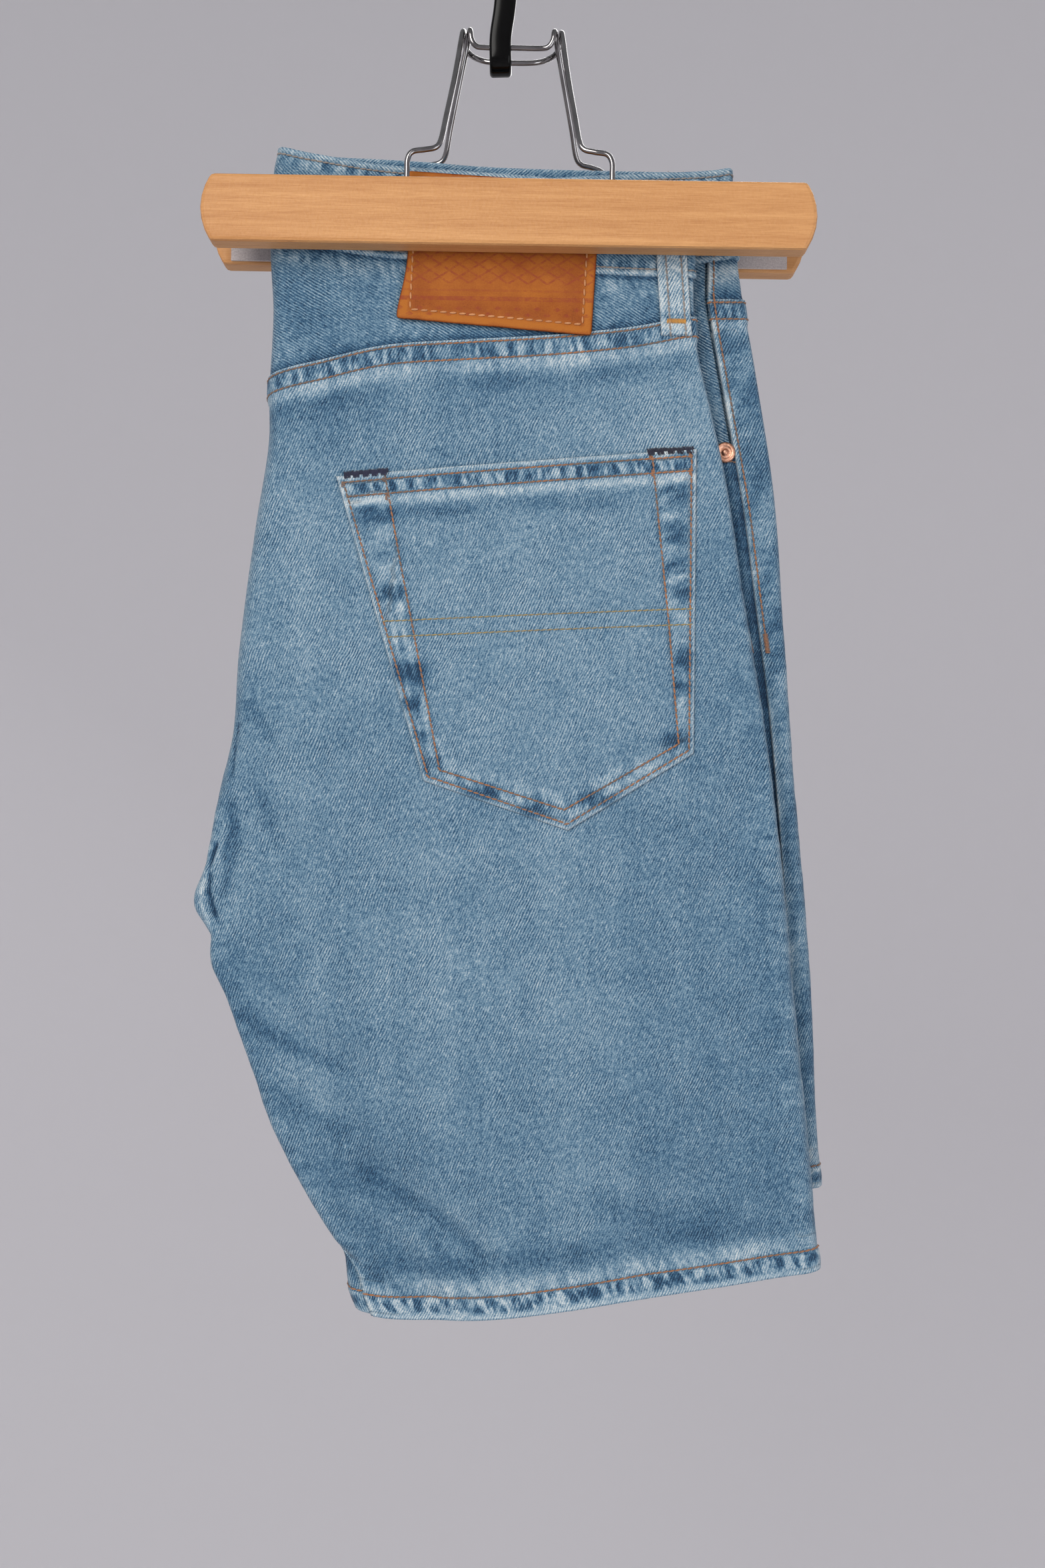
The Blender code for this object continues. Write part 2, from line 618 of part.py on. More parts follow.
def fly_point(u, v):
    z = mix(band_foot(FAR, FLY_PLACES[0]) - 2 * GAP, FLY_FOOT, v)
    return cloth(FAR, mix(*FLY_PLACES, u), z, -(CLOTH / 2 + GAP + FACING_WALL / 2))


grid_object("fly_facing", steps(4), steps(6), fly_point, FACING_WALL, DENIM)


# --- rivets and button ----------------------------------------------------------------------------------
RIVET_PROFILE = ((0.3, 1.0), (0.45, 0.5), (0.72, 0.8), (1.0, 0.4), (1.0, 0.0))
BUTTON_PROFILE = ((0.7, 0.7), (0.85, 1.0), (1.0, 0.8), (1.0, 0.0))


def turned(name, profile, radius, height, place, outward, segments):
    """A copper piece turned from a profile (shares of radius and height), top to bottom."""
    line = [(0.0, profile[0][1]), *profile, (0.0, 0.0)]
    shape = bmesh.new()
    verts = [shape.verts.new((share * radius * MM, 0.0, rise * height * MM)) for share, rise in line]
    for pair in zip(verts, verts[1:]):
        shape.edges.new(pair)
    mesh = bpy.data.meshes.new(name)
    shape.to_mesh(mesh)
    shape.free()
    made = add_object(name, mesh, COPPER)
    made.location = place * MM
    made.rotation_euler = outward.to_track_quat('Z', 'Y').to_euler()
    screw = made.modifiers.new("turn", 'SCREW')
    screw.steps = screw.render_steps = segments
    screw.use_merge_vertices = True
    screw.merge_threshold = 0.005 * MM
    screw.use_smooth_shade = True
    return made


for name, half, x, z in RIVETS:
    rivet_foot = on_front(half, x, z, CLOTH / 2 + GAP)
    turned(name, RIVET_PROFILE, RIVET_RADIUS, RIVET_HEIGHT, rivet_foot, Vector((0, -half, 0)), 12)

button_x, button_z = BUTTON_PLACE
button_foot = on_front(FAR, button_x, button_z, BAND / 2 + GAP)
turned("waist_button", BUTTON_PROFILE, BUTTON_RADIUS, BUTTON_HEIGHT, button_foot,
       Vector((0, -1, 0)), 20)


# --- hanger ---------------------------------------------------------------------------------------------
def smooth_path(points, count):
    """Points along a Catmull-Rom curve through the given ones, evenly spread."""
    ends = [2 * points[0] - points[1]] + points + [2 * points[-1] - points[-2]]
    fine = []
    for a, b, c, d in zip(ends, ends[1:], ends[2:], ends[3:]):
        for k in range(12):
            t = k / 12
            fine.append(0.5 * ((2 * b) + (c - a) * t + (2 * a - 5 * b + 4 * c - d) * t * t
                               + (3 * b - a - 3 * c + d) * t ** 3))
    fine.append(points[-1])
    travelled = [0.0]
    for p, q in zip(fine, fine[1:]):
        travelled.append(travelled[-1] + (q - p).length)
    path, k = [], 0
    for step in range(count):
        goal = travelled[-1] * step / (count - 1)
        while k < len(fine) - 2 and travelled[k + 1] < goal:
            k += 1
        share = (goal - travelled[k]) / max(travelled[k + 1] - travelled[k], 1e-9)
        path.append(fine[k].lerp(fine[k + 1], min(share, 1.0)))
    return path


def wire(name, half_route, count):
    """A bent wire, the same on both sides of x = 0; the route runs from the foot to the middle."""
    right = [Vector(p) for p in half_route]
    left = [Vector((-p.x, p.y, p.z)) for p in right[:-1]]
    data = bpy.data.curves.new(name, 'CURVE')
    data.dimensions = '3D'
    data.bevel_depth = WIRE / 2 * MM
    data.bevel_resolution = 2
    data.use_fill_caps = True
    run = data.splines.new('POLY')
    path = smooth_path(right + left[::-1], count)
    run.points.add(len(path) - 1)
    for knot, place in zip(run.points, path):
        knot.co = (*(place * MM), 1.0)
    return add_object(name, data, CHROME)


BAIL_FRONT = ((41.8, -18.5, WIRE_FOOT), (41.8, -18.5, -128.0), (41.6, -18.5, -122.6),
              (39.6, -18.3, -119.4), (34.5, -18.0, -118.4), (30.2, -17.5, -117.2),
              (28.2, -16.4, -113.6), (26.4, -12.9, -103.0), (23.3, -6.6, -84.0),
              (21.0, -1.6, -66.8), (20.5, 0.3, -63.4), (20.2, 2.6, -63.3), (20.0, 5.0, -66.2),
              (18.6, 5.8, -69.8), (15.4, 4.4, -72.8), (11.2, 1.9, -75.1), (6.5, 1.2, -75.8),
              (0.0, 1.2, -75.9))
BAIL_REAR = ((41.6, 18.5, WIRE_FOOT), (41.6, 18.5, -127.0), (41.2, 18.5, -119.6),
             (38.8, 18.3, -115.6), (34.2, 18.0, -113.8), (30.0, 17.5, -112.8),
             (27.6, 16.2, -109.6), (25.6, 12.6, -99.6), (21.6, 6.0, -81.4),
             (18.4, 1.4, -66.8), (17.7, -0.6, -63.4), (17.4, -2.2, -64.4), (16.9, -2.6, -67.6),
             (15.2, -2.3, -70.0), (12.0, -2.0, -70.7), (0.0, -2.0, -70.7))
wire("bail_front", BAIL_FRONT, 47)
wire("bail_rear", BAIL_REAR, 43)


def jaw(name, side, hole_half):
    """A beech bar with rounded ends and edges, drilled for the two wire feet."""
    shape = bmesh.new()
    bmesh.ops.create_grid(shape, x_segments=16, y_segments=1, size=1.0)
    middle_z, half_height = (JAW_TOP + JAW_FOOT) / 2, (JAW_TOP - JAW_FOOT) / 2
    y = side * JAW_INNER
    for vert in shape.verts:
        vert.co = Vector((vert.co.x * JAW_HALF, y, middle_z + vert.co.y * half_height)) * MM
    ends = [edge for edge in shape.edges
            if all(abs(abs(v.co.x) - JAW_HALF * MM) < 1e-6 for v in edge.verts)]
    bmesh.ops.subdivide_edges(shape, edges=ends, cuts=5)
    # the two ends bulge out as shallow arcs
    for vert in shape.verts:
        if abs(abs(vert.co.x) - JAW_HALF * MM) < 1e-6:
            rise = (vert.co.z / MM - middle_z) / half_height
            vert.co.x += (1 if vert.co.x > 0 else -1) * JAW_BULGE * MM * (1 - rise * rise)
    extruded = bmesh.ops.extrude_face_region(shape, geom=shape.faces[:])
    moved = [item for item in extruded["geom"] if isinstance(item, bmesh.types.BMVert)]
    bmesh.ops.translate(shape, verts=moved, vec=(0, side * JAW_DEPTH * MM, 0))
    bmesh.ops.recalc_face_normals(shape, faces=shape.faces)
    bmesh.ops.dissolve_limit(shape, angle_limit=radians(1.0), verts=shape.verts, edges=shape.edges)
    mesh = bpy.data.meshes.new(name)
    shape.to_mesh(mesh)
    shape.free()
    made = add_object(name, mesh, BEECH)
    rounded = made.modifiers.new("rounded", 'BEVEL')
    rounded.width = JAW_ROUND * MM
    rounded.segments = 2
    rounded.limit_method = 'ANGLE'
    rounded.angle_limit = radians(50)
    for hole_x in (-hole_half, hole_half):
        # twice the hole's depth, centred on the jaw's top
        bpy.ops.mesh.primitive_cylinder_add(
            vertices=16, radius=WIRE_HOLE / 2 * MM, depth=2 * WIRE_HOLE_DEPTH * MM,
            location=(hole_x * MM, side * (JAW_INNER + JAW_DEPTH / 2) * MM, JAW_TOP * MM))
        cutter = bpy.context.object
        cutter.name = f"{name}_hole"
        adopt(cutter, CUTTERS)
        cutter.hide_render = True
        cutter.display_type = 'WIRE'
        drill = made.modifiers.new("wire_hole", 'BOOLEAN')
        drill.object = cutter
    return made


jaw("jaw_front", NEAR, BAIL_FRONT[0][0])
jaw("jaw_rear", FAR, BAIL_REAR[0][0])


def felt(name, side):
    bpy.ops.mesh.primitive_cube_add(size=1.0)
    made = bpy.context.object
    made.name = name
    size = Vector((2 * FELT_HALF, FELT_WALL, JAW_TOP - JAW_FOOT - FELT_BELOW_EDGES))
    centre = Vector((0, side * (JAW_INNER - GAP - FELT_WALL / 2), (JAW_TOP + JAW_FOOT) / 2))
    for vert in made.data.vertices:
        vert.co = (Vector(a * b for a, b in zip(vert.co, size)) + centre) * MM
    adopt(made, PARTS)
    made.data.materials.append(FELT)


felt("felt_front", NEAR)
felt("felt_rear", FAR)


def hook_route():
    """Middle line of the flat bar (y, z): a crown over the rail above, a small bend below."""
    crown = HOOK_CROWN + HOOK_WALL / 2
    bend = HOOK_THROAT + HOOK_WALL / 2
    bend_z = HOOK_FOOT + HOOK_THROAT
    route = [(crown * cos(a), -HOOK_CROWN + crown * sin(a))
             for a in (radians(d) for d in range(-30, 181, 21))]
    route += [(-crown + 0.9, -22.0), (-crown + 3.6, -38.0), (-bend - 0.6, -56.0)]
    route += [(bend * cos(a), bend_z + bend * sin(a))
              for a in (radians(d) for d in range(180, 361, 22))]
    route.append((bend, bend_z + 5.0))
    return [Vector((0.0, y, z)) for y, z in route]


def hook():
    """A rounded rectangle extruded along the route."""
    path = hook_route()
    shape = bmesh.new()
    half_width, half_wall = HOOK_WIDTH / 2, HOOK_WALL / 2
    flat_width, flat_wall = half_width - HOOK_ROUND, half_wall - HOOK_ROUND
    section_points = [(half_width, flat_wall), (flat_width, half_wall), (-flat_width, half_wall),
                      (-half_width, flat_wall), (-half_width, -flat_wall), (-flat_width, -half_wall),
                      (flat_width, -half_wall), (half_width, -flat_wall)]
    lean = Matrix.Rotation(radians(HOOK_LEAN), 3, 'Y')

    def stand(k):
        """Section points at a station of the route."""
        along = (path[min(k + 1, len(path) - 1)] - path[max(k - 1, 0)]).normalized()
        out = Vector((0.0, -along.z, along.y))
        return [lean @ (path[k] + Vector((1, 0, 0)) * a + out * b) * MM for a, b in section_points]

    ring = [shape.verts.new(place) for place in stand(0)]
    face = shape.faces.new(ring)
    for k in range(1, len(path)):
        extruded = bmesh.ops.extrude_face_region(shape, geom=[face])
        if k > 1:
            bmesh.ops.delete(shape, geom=[face], context='FACES_ONLY')
        moved = [item for item in extruded["geom"] if isinstance(item, bmesh.types.BMVert)]
        face = next(item for item in extruded["geom"] if isinstance(item, bmesh.types.BMFace))
        for vert, place in zip(face.verts, stand(k)):
            vert.co = place
    bmesh.ops.recalc_face_normals(shape, faces=shape.faces)
    mesh = bpy.data.meshes.new("hook")
    shape.to_mesh(mesh)
    shape.free()
    return add_object("hook", mesh, BLACK)


hook()
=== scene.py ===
from math import ceil, cos, pi, radians, sin

import bmesh
import bpy
import numpy as np
from mathutils import Matrix, Vector


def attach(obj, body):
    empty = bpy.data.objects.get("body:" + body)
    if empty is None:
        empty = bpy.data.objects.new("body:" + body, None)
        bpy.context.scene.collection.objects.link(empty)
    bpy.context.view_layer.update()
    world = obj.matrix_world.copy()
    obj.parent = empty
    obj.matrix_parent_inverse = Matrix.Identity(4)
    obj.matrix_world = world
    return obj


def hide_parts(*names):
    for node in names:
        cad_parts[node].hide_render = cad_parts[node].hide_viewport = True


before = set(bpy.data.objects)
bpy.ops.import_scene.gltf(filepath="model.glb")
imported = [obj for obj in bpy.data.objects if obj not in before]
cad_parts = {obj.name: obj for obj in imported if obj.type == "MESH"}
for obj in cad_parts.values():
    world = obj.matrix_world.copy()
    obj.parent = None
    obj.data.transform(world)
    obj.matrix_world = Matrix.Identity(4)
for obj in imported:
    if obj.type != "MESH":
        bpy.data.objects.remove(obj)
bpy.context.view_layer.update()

# --- The camera --------------------------------------------------------------------------------
# A camera on a stand, level with the middle of the shorts, less than a metre in front of the right
# back pocket, and tilted by a degree.
lens = bpy.data.cameras.new("camera")
lens.sensor_width = 36.0
lens.lens = 46.37
camera = bpy.data.objects.new("camera", lens)
bpy.context.scene.collection.objects.link(camera)
camera.location = (0.00914, -0.840, -0.376)
camera.rotation_euler = (radians(90.0), radians(-0.9), 0.0)
bpy.context.scene.camera = camera
bpy.context.scene.view_settings.view_transform = 'Standard'


# --- The room ----------------------------------------------------------------------------------
# A round pale studio: one floor that curves up into a wall all round, turned from a profile of
# painted plaster. It is well below the hanging shorts.
ROOM_RADIUS, ROOM_FLOOR, ROOM_TOP, ROOM_COVE = 3.2, -2.1, 2.2, 1.1


def principled(name, colour, roughness, metallic=0.0):
    """A new material and its shader node, with plain values on the shader's own sockets."""
    made = bpy.data.materials.new(name)
    made.use_nodes = True
    shader = made.node_tree.nodes["Principled BSDF"]
    shader.inputs["Base Color"].default_value = (*colour, 1.0)
    shader.inputs["Roughness"].default_value = roughness
    shader.inputs["Metallic"].default_value = metallic
    return made, shader


def finished(name, shape, finish):
    """Turns a bmesh into a smooth object in the scene."""
    mesh = bpy.data.meshes.new(name)
    shape.to_mesh(mesh)
    shape.free()
    mesh.shade_smooth()
    mesh.materials.append(finish)
    made = bpy.data.objects.new(name, mesh)
    bpy.context.scene.collection.objects.link(made)
    return made


plaster, _ = principled("pale_plaster", (0.78, 0.765, 0.79), 0.9)
room = bmesh.new()
cove = [(ROOM_RADIUS - ROOM_COVE * (1 - sin(a)), ROOM_FLOOR + ROOM_COVE * (1 - cos(a)))
        for a in (radians(d) for d in range(0, 91, 10))]
room_line = [room.verts.new((radius, 0.0, height))
             for radius, height in [(0.0, ROOM_FLOOR), *cove, (ROOM_RADIUS, ROOM_TOP)]]
room_edges = [room.edges.new(pair) for pair in zip(room_line, room_line[1:])]
bmesh.ops.spin(room, geom=room_line + room_edges, cent=(0, 0, 0), axis=(0, 0, 1), angle=2 * pi,
               steps=64, use_merge=True)
bmesh.ops.remove_doubles(room, verts=room.verts, dist=1e-5)
bmesh.ops.recalc_face_normals(room, faces=room.faces)
bmesh.ops.reverse_faces(room, faces=room.faces)
finished("room", room, plaster)


# --- The light ---------------------------------------------------------------------------------
# Plain soft studio light: a large panel up in front on the left, a weaker one on the right, one
# behind, and a pale sky all round. Each panel faces the middle of the shorts.
LIT_PLACE = Vector((0.0, 0.0, -0.36))


def soft_box(name, place, size, power, colour):
    light = bpy.data.lights.new(name, 'AREA')
    light.shape = 'RECTANGLE'
    light.size, light.size_y = size
    light.energy = power
    light.color = colour
    made = bpy.data.objects.new(name, light)
    made.location = place
    made.rotation_euler = (LIT_PLACE - Vector(place)).to_track_quat('-Z', 'Y').to_euler()
    made.visible_camera = False
    bpy.context.scene.collection.objects.link(made)


soft_box("key_light", (-0.85, -1.95, 0.40), (1.3, 1.5), 36.0, (1.0, 0.975, 0.94))
soft_box("fill_light", (1.4, -1.6, -0.75), (1.2, 1.6), 13.0, (0.92, 0.96, 1.0))
soft_box("rear_light", (0.6, 1.9, 0.9), (1.4, 1.2), 22.0, (1.0, 0.99, 0.97))
sky = bpy.data.worlds.new("sky")
sky.use_nodes = True
sky.node_tree.nodes["Background"].inputs["Color"].default_value = (0.86, 0.88, 0.92, 1.0)
sky.node_tree.nodes["Background"].inputs["Strength"].default_value = 0.36
bpy.context.scene.world = sky


# --- The two halves of the shorts --------------------------------------------------------------
# The garment is folded along the centre back, so its halves hang one behind the other: the right
# leg near (y < 0), the left leg far (y > 0). Each half is one surface, read at a height z and at
# a place s along its section, from 0 at the centre back round the side fold to 19 at the centre
# front. Sizes are in millimetres from here on.
MM = 0.001
NEAR, FAR = -1, 1
SIDES = {NEAR: "right", FAR: "left"}
LAST_PLACE = 19.0
# the places between which the back, the side fold and the front are looked for
BACK_SPAN, SIDE_SPAN, FRONT_SPAN = (2.6, 9.2), (10.4, 13.0), (10.6, 17.0)

# outlines, as height and x
BACK_FOLD = ((-105, -94.0), (-113, -95.4), (-124, -97.6), (-158, -98.8), (-182, -97.4),
             (-215, -98.6), (-236, -98.6), (-273, -103.7), (-323, -109.5), (-357, -111.2),
             (-390, -117.2), (-412, -120.6), (-425, -125.2), (-445, -127.0))
LEG_INNER_NEAR = ((-400, -122.0), (-425, -120.5), (-438, -117.4), (-452, -116.8), (-464, -111.0),
                  (-488, -101.7), (-521, -89.0), (-553, -71.0), (-568, -61.6), (-583, -58.8),
                  (-600, -52.0))
LEG_INNER_FAR = ((-400, -122.0), (-425, -120.0), (-438, -116.6), (-452, -114.4), (-464, -108.6),
                 (-488, -97.0), (-521, -81.0), (-553, -64.0), (-580, -56.0), (-600, -50.0))
FRONT_FOLD = ((-105, -84.0), (-160, -86.0), (-300, -97.0), (-390, -110.0), (-412, -117.0),
              (-424, -123.6), (-445, -125.0))
SIDE_NEAR = ((-105, 77.0), (-162, 76.3), (-194, 77.9), (-222, 84.3), (-253, 91.4), (-292, 97.5),
             (-332, 104.7), (-359, 109.2), (-417, 117.0), (-455, 120.8), (-532, 129.6),
             (-559, 132.4), (-576, 134.2), (-600, 135.5))
SIDE_FAR = ((-105, 91.0), (-160, 95.8), (-202, 103.4), (-252, 112.0), (-303, 116.5),
            (-370, 121.8), (-437, 129.0), (-470, 131.8), (-510, 134.0), (-545, 137.0),
            (-600, 139.0))
OUTSEAM_FAR = ((-105, 82.0), (-160, 83.0), (-174, 83.4), (-212, 90.4), (-259, 99.2),
               (-298, 104.8), (-348, 111.8), (-416, 118.4), (-457, 121.2), (-600, 128.0))
OUTSEAM_NEAR = ((-105, 11.3), (-240, 11.1), (-310, 10.5), (-345, 9.6), (-600, 9.4))
# height | back panel at its inner edge, middle, side | front panel at side, middle, inner edge
DEPTH = ((-105, 6.9, 6.9, 6.9, 3.4, 3.4, 3.4),
         (-166, 6.9, 6.9, 6.9, 3.4, 3.4, 3.4),
         (-200, 7.6, 8.8, 7.2, 3.4, 3.7, 3.6),
         (-250, 8.6, 12.2, 8.4, 3.4, 4.4, 4.2),
         (-330, 8.8, 15.2, 9.8, 3.4, 5.0, 4.0),
         (-395, 8.0, 16.2, 10.8, 3.4, 5.2, 2.4),
         (-424, 7.4, 16.4, 11.2, 3.2, 5.0, 0.9),
         (-445, 9.6, 17.0, 11.8, 3.0, 4.4, 1.2),
         (-510, 13.0, 18.6, 13.0, 2.6, 3.4, 2.2),
         (-560, 14.6, 20.4, 13.8, 2.5, 2.8, 2.4),
         (-600, 14.6, 21.4, 14.0, 2.5, 2.6, 2.4))
SEAM_REACH, INSEAM_REACH, SEAM_GAP, FRONT_JOIN = 9.0, 6.0, 0.55, 0.9
FRONT_CLOSES, SEAM_TURNS = (-230.0, -330.0), -330.0
CROTCH, LEG_STARTS, INSEAM_SHOWS = -424.0, -441.0, (-562.0, -582.0)
# soft folds: start x, z, end x, z, half width, depth
FOLDS = {NEAR: ((-98, -470, -60, -492, 7, 2.2), (-92, -498, -58, -516, 7, 2.0),
                (-52, -532, -8, -566, 8, 2.8), (-104, -330, -84, -338, 9, 1.4),
                (-112, -392, -84, -402, 8, 1.8), (112, -350, 92, -420, 10, 1.2),
                (100, -520, 60, -566, 10, 1.6), (-44, -560, -24, -590, 7, 2.4)),
         FAR: ((-96, -480, -50, -500, 8, 2.2), (-60, -528, -4, -548, 9, 2.6),
               (-104, -345, -70, -356, 9, 1.4), (-108, -400, -76, -414, 8, 1.8),
               (96, -490, 52, -540, 10, 1.8))}


def mix(a, b, t):
    return a + (b - a) * t


def ease(t):
    t = np.clip(t, 0.0, 1.0)
    return t * t * (3 - 2 * t)


def fall(z, high, low):
    """0 above high, 1 below low, eased in between."""
    return ease((high - z) / (high - low))


def read(table, place, column=1):
    """A column of a table at places between its rows, with smooth joins."""
    rows = np.array(sorted(table), float)
    at, value = rows[:, 0], rows[:, column]
    place = np.clip(place, at[0], at[-1])
    i = np.clip(np.searchsorted(at, place) - 1, 0, len(at) - 2)
    knot = np.arange(len(at))
    low, high = np.maximum(knot - 1, 0), np.minimum(knot + 1, len(at) - 1)
    slope = (value[high] - value[low]) / (at[high] - at[low])
    width = at[i + 1] - at[i]
    t = (place - at[i]) / width
    return (value[i] * (1 + 2 * t) * (1 - t) ** 2 + value[i + 1] * t * t * (3 - 2 * t)
            + width * (slope[i] * t * (1 - t) ** 2 - slope[i + 1] * t * t * (1 - t)))


def bow(first, middle, last, t):
    """The parabola through three values at t = 0, 0.5 and 1."""
    return first * (1 - t) * (1 - 2 * t) + 4 * middle * t * (1 - t) + last * t * (2 * t - 1)


def from_run(x, z, x0, z0, x1, z1):
    """Distance of points from a straight run between two ends."""
    run_x, run_z = x1 - x0, z1 - z0
    t = np.clip(((x - x0) * run_x + (z - z0) * run_z) / (run_x ** 2 + run_z ** 2), 0, 1)
    return np.hypot(x - x0 - run_x * t, z - z0 - run_z * t)


def sections(half, z):
    """Twenty control points (x, y) of a half at each height, and one more beyond each end."""
    back_in, back_mid, back_side, front_side, front_mid, front_in = (
        half * read(DEPTH, z, column) for column in range(1, 7))
    edge, front_edge = read(BACK_FOLD, z), read(FRONT_FOLD, z)
    inner = read(LEG_INNER_NEAR if half == NEAR else LEG_INNER_FAR, z)
    side = read(SIDE_NEAR if half == NEAR else SIDE_FAR, z)

    def run(*pairs):
        return np.stack([np.stack(np.broadcast_arrays(x, y, z)[:2], -1) for x, y in pairs], 1)

    reach = 1.8 * abs(back_in)
    if half == NEAR:
        seam_behind = run((edge + SEAM_REACH, -back_in), (edge, -back_in), (edge, back_in),
                          (edge + reach, back_in))
    else:
        butted = edge + SEAM_REACH + SEAM_GAP
        seam_behind = run(*((butted + step, back_in) for step in (0, 6, 12, 18)))
    seam_at_tip = run((edge, half * SEAM_GAP / 2), (edge, back_in / 2), (edge, back_in),
                      (edge + 0.5 * reach, back_in))
    between, flap = (back_in + front_in) / 2, 0.9 * abs(back_in - front_in)
    seam_on_fold = run((inner, between), (inner, (between + back_in) / 2), (inner, back_in),
                       (inner + flap, back_in))
    seam_on_leg = run(*((inner + INSEAM_REACH + step, back_in) for step in (0, 5, 10, 16)))
    front_rounded = run((front_edge + 0.9 * abs(front_in), front_in), (front_edge, front_in),
                        (front_edge, front_in / 2), (front_edge, half * 0.3))
    front_flat = run(*((front_edge + step, half * FRONT_JOIN) for step in (9, 6, 4.2, 2.4)))
    front_on_fold = run((inner + flap, front_in), (inner, front_in),
                        (inner, (between + front_in) / 2), (inner, between - half * SEAM_GAP))
    front_on_leg = run((inner + flap, front_in), (inner, front_in), (inner, back_in),
                       (inner + INSEAM_REACH + 1.4, 0.88 * back_in))

    def turned(first, *later):
        for points, high, low in later:
            first = mix(first, points, fall(z, high, low)[:, None, None])
        return first

    start = turned(seam_behind, (seam_at_tip, SEAM_TURNS, CROTCH),
                   (seam_on_fold, CROTCH, LEG_STARTS), (seam_on_leg, *INSEAM_SHOWS))
    end = turned(front_rounded, (front_flat, *FRONT_CLOSES),
                 (front_on_fold, CROTCH, LEG_STARTS), (front_on_leg, *INSEAM_SHOWS))
    round_side = 0.9 * abs(back_side - front_side)
    corner = run((side - round_side, back_side), (side, back_side), (side, front_side),
                 (side - round_side, front_side))
    fifths = (0.2, 0.4, 0.6, 0.8)
    back = run(*((mix(start[:, 3, 0], corner[:, 0, 0], f),
                  bow(start[:, 3, 1], back_mid, back_side, f)) for f in fifths))
    front = run(*((mix(corner[:, 3, 0], end[:, 0, 0], f),
                   bow(front_side, front_mid, end[:, 0, 1], f)) for f in fifths))
    points = np.concatenate([start, back, corner, front, end], 1)
    return np.concatenate([2 * points[:, :1] - points[:, 1:2], points,
                           2 * points[:, -1:] - points[:, -2:-1]], 1)


HEIGHTS = np.arange(-612.0, -98.0, 1.0)
SECTIONS = {half: sections(half, HEIGHTS) for half in SIDES}


def bare(half, s, z):
    """Points of a half's surface in millimetres: a cubic B-spline through the sections."""
    row = np.clip(z - HEIGHTS[0], 0.0, len(HEIGHTS) - 1.001)
    i = row.astype(int)
    f = (row - i)[..., None]
    k = np.clip(s.astype(int), 0, 18)
    t = s - k
    weights = ((1 - t) ** 3, 3 * t ** 3 - 6 * t * t + 4, -3 * t ** 3 + 3 * t * t + 3 * t + 1, t ** 3)
    knots = SECTIONS[half]
    xy = sum(w[..., None] * mix(knots[i, k + j], knots[i + 1, k + j], f)
             for j, w in enumerate(weights)) / 6
    x, y = xy[..., 0], xy[..., 1]
    pressed = 0.0
    for *ends, width, depth in FOLDS[half]:
        pressed = pressed + depth * np.exp(-(from_run(x, z, *ends) / width) ** 2)
    on_back = ease((s - 2.4) / 1.2) * ease(9.4 - s)
    return np.stack([x, y - half * on_back * pressed, z], -1)


def outward(half, s, z):
    """Unit normals of the surface."""
    after, before = np.minimum(s + 0.05, LAST_PLACE), np.maximum(s - 0.05, 0.0)
    across = bare(half, after, z) - bare(half, before, z)
    up = bare(half, s, z + 1.0) - bare(half, s, z - 1.0)
    normal = np.cross(across, up) * -half
    return normal / np.linalg.norm(normal, axis=-1, keepdims=True)


def cloth(half, s, z, lift=0.0):
    """Points of the surface, moved out of the cloth by lift."""
    s, z, lift = np.broadcast_arrays(np.asarray(s, float), np.asarray(z, float), lift)
    return bare(half, s, z) + outward(half, s, z) * lift[..., None]


def place_of(half, x, z, span):
    """The places s within a span at which a half's sections pass x."""
    x, z, low, high = (np.array(value) for value in np.broadcast_arrays(
        *(np.asarray(value, float) for value in (x, z, *span))))
    rising = bare(half, high, z)[..., 0] > bare(half, low, z)[..., 0]
    for _ in range(24):
        middle = (low + high) / 2
        short = (bare(half, middle, z)[..., 0] < x) == rising
        low, high = np.where(short, middle, low), np.where(short, high, middle)
    return (low + high) / 2


def outseam(half, z):
    """The place of the outseam: a table of places on the near half, of x on the far one."""
    if half == NEAR:
        return read(OUTSEAM_NEAR, z)
    return place_of(FAR, read(OUTSEAM_FAR, z), z, SIDE_SPAN)


# heights of the seams that run round a half: place along the section, height
WAIST = {NEAR: ((0, -113.6), (1.5, -113.2), (3, -117.3), (4, -121.4), (5, -123.4), (6, -125.3),
                (7, -127.3), (8, -128.0), (11, -128.0), (13, -129.0), (16, -132.7), (19, -133.0)),
         FAR: ((0, -113.6), (3, -114.8), (4, -115.8), (4.7, -117.3), (5.5, -118.1), (7, -118.5),
               (8.4, -118.4), (9.5, -117.7), (10.3, -117.4), (11, -118.6), (13, -122.6),
               (16, -132.4), (19, -133.0))}
YOKE = {NEAR: ((0, -211.5), (1.5, -209.5), (3, -203.4), (4, -196.2), (5, -193.5), (6, -191.2),
               (7, -187.6), (8, -182.8), (9.5, -182.2), (12, -181.5)),
        FAR: ((0, -211.5), (1.5, -209.0), (4, -199.5), (6, -189.0), (7, -181.0), (8, -173.0),
              (9.5, -172.3), (11, -172.6), (12, -174.0))}
HEM = {NEAR: ((0, -594.4), (1, -595.2), (3, -595.6), (4, -594.3), (5, -590.0), (6, -584.6),
              (7, -579.8), (8, -575.6), (9.5, -573.2), (12, -574.0), (14, -580.0),
              (16.5, -589.0), (19, -594.4)),
       FAR: ((0, -578.0), (3, -575.0), (5, -566.0), (7, -554.0), (8.4, -545.5), (9.5, -542.5),
             (12, -546.0), (14, -557.0), (16.5, -570.0), (19, -578.0))}
BAND_HEIGHT, BAND_LEVEL, HEM_LEVEL = 38.3, -166.0, -570.0
OUTSEAM_COLUMN = 11.0


def band_foot(half, s):
    return read(WAIST[half], s) - BAND_HEIGHT


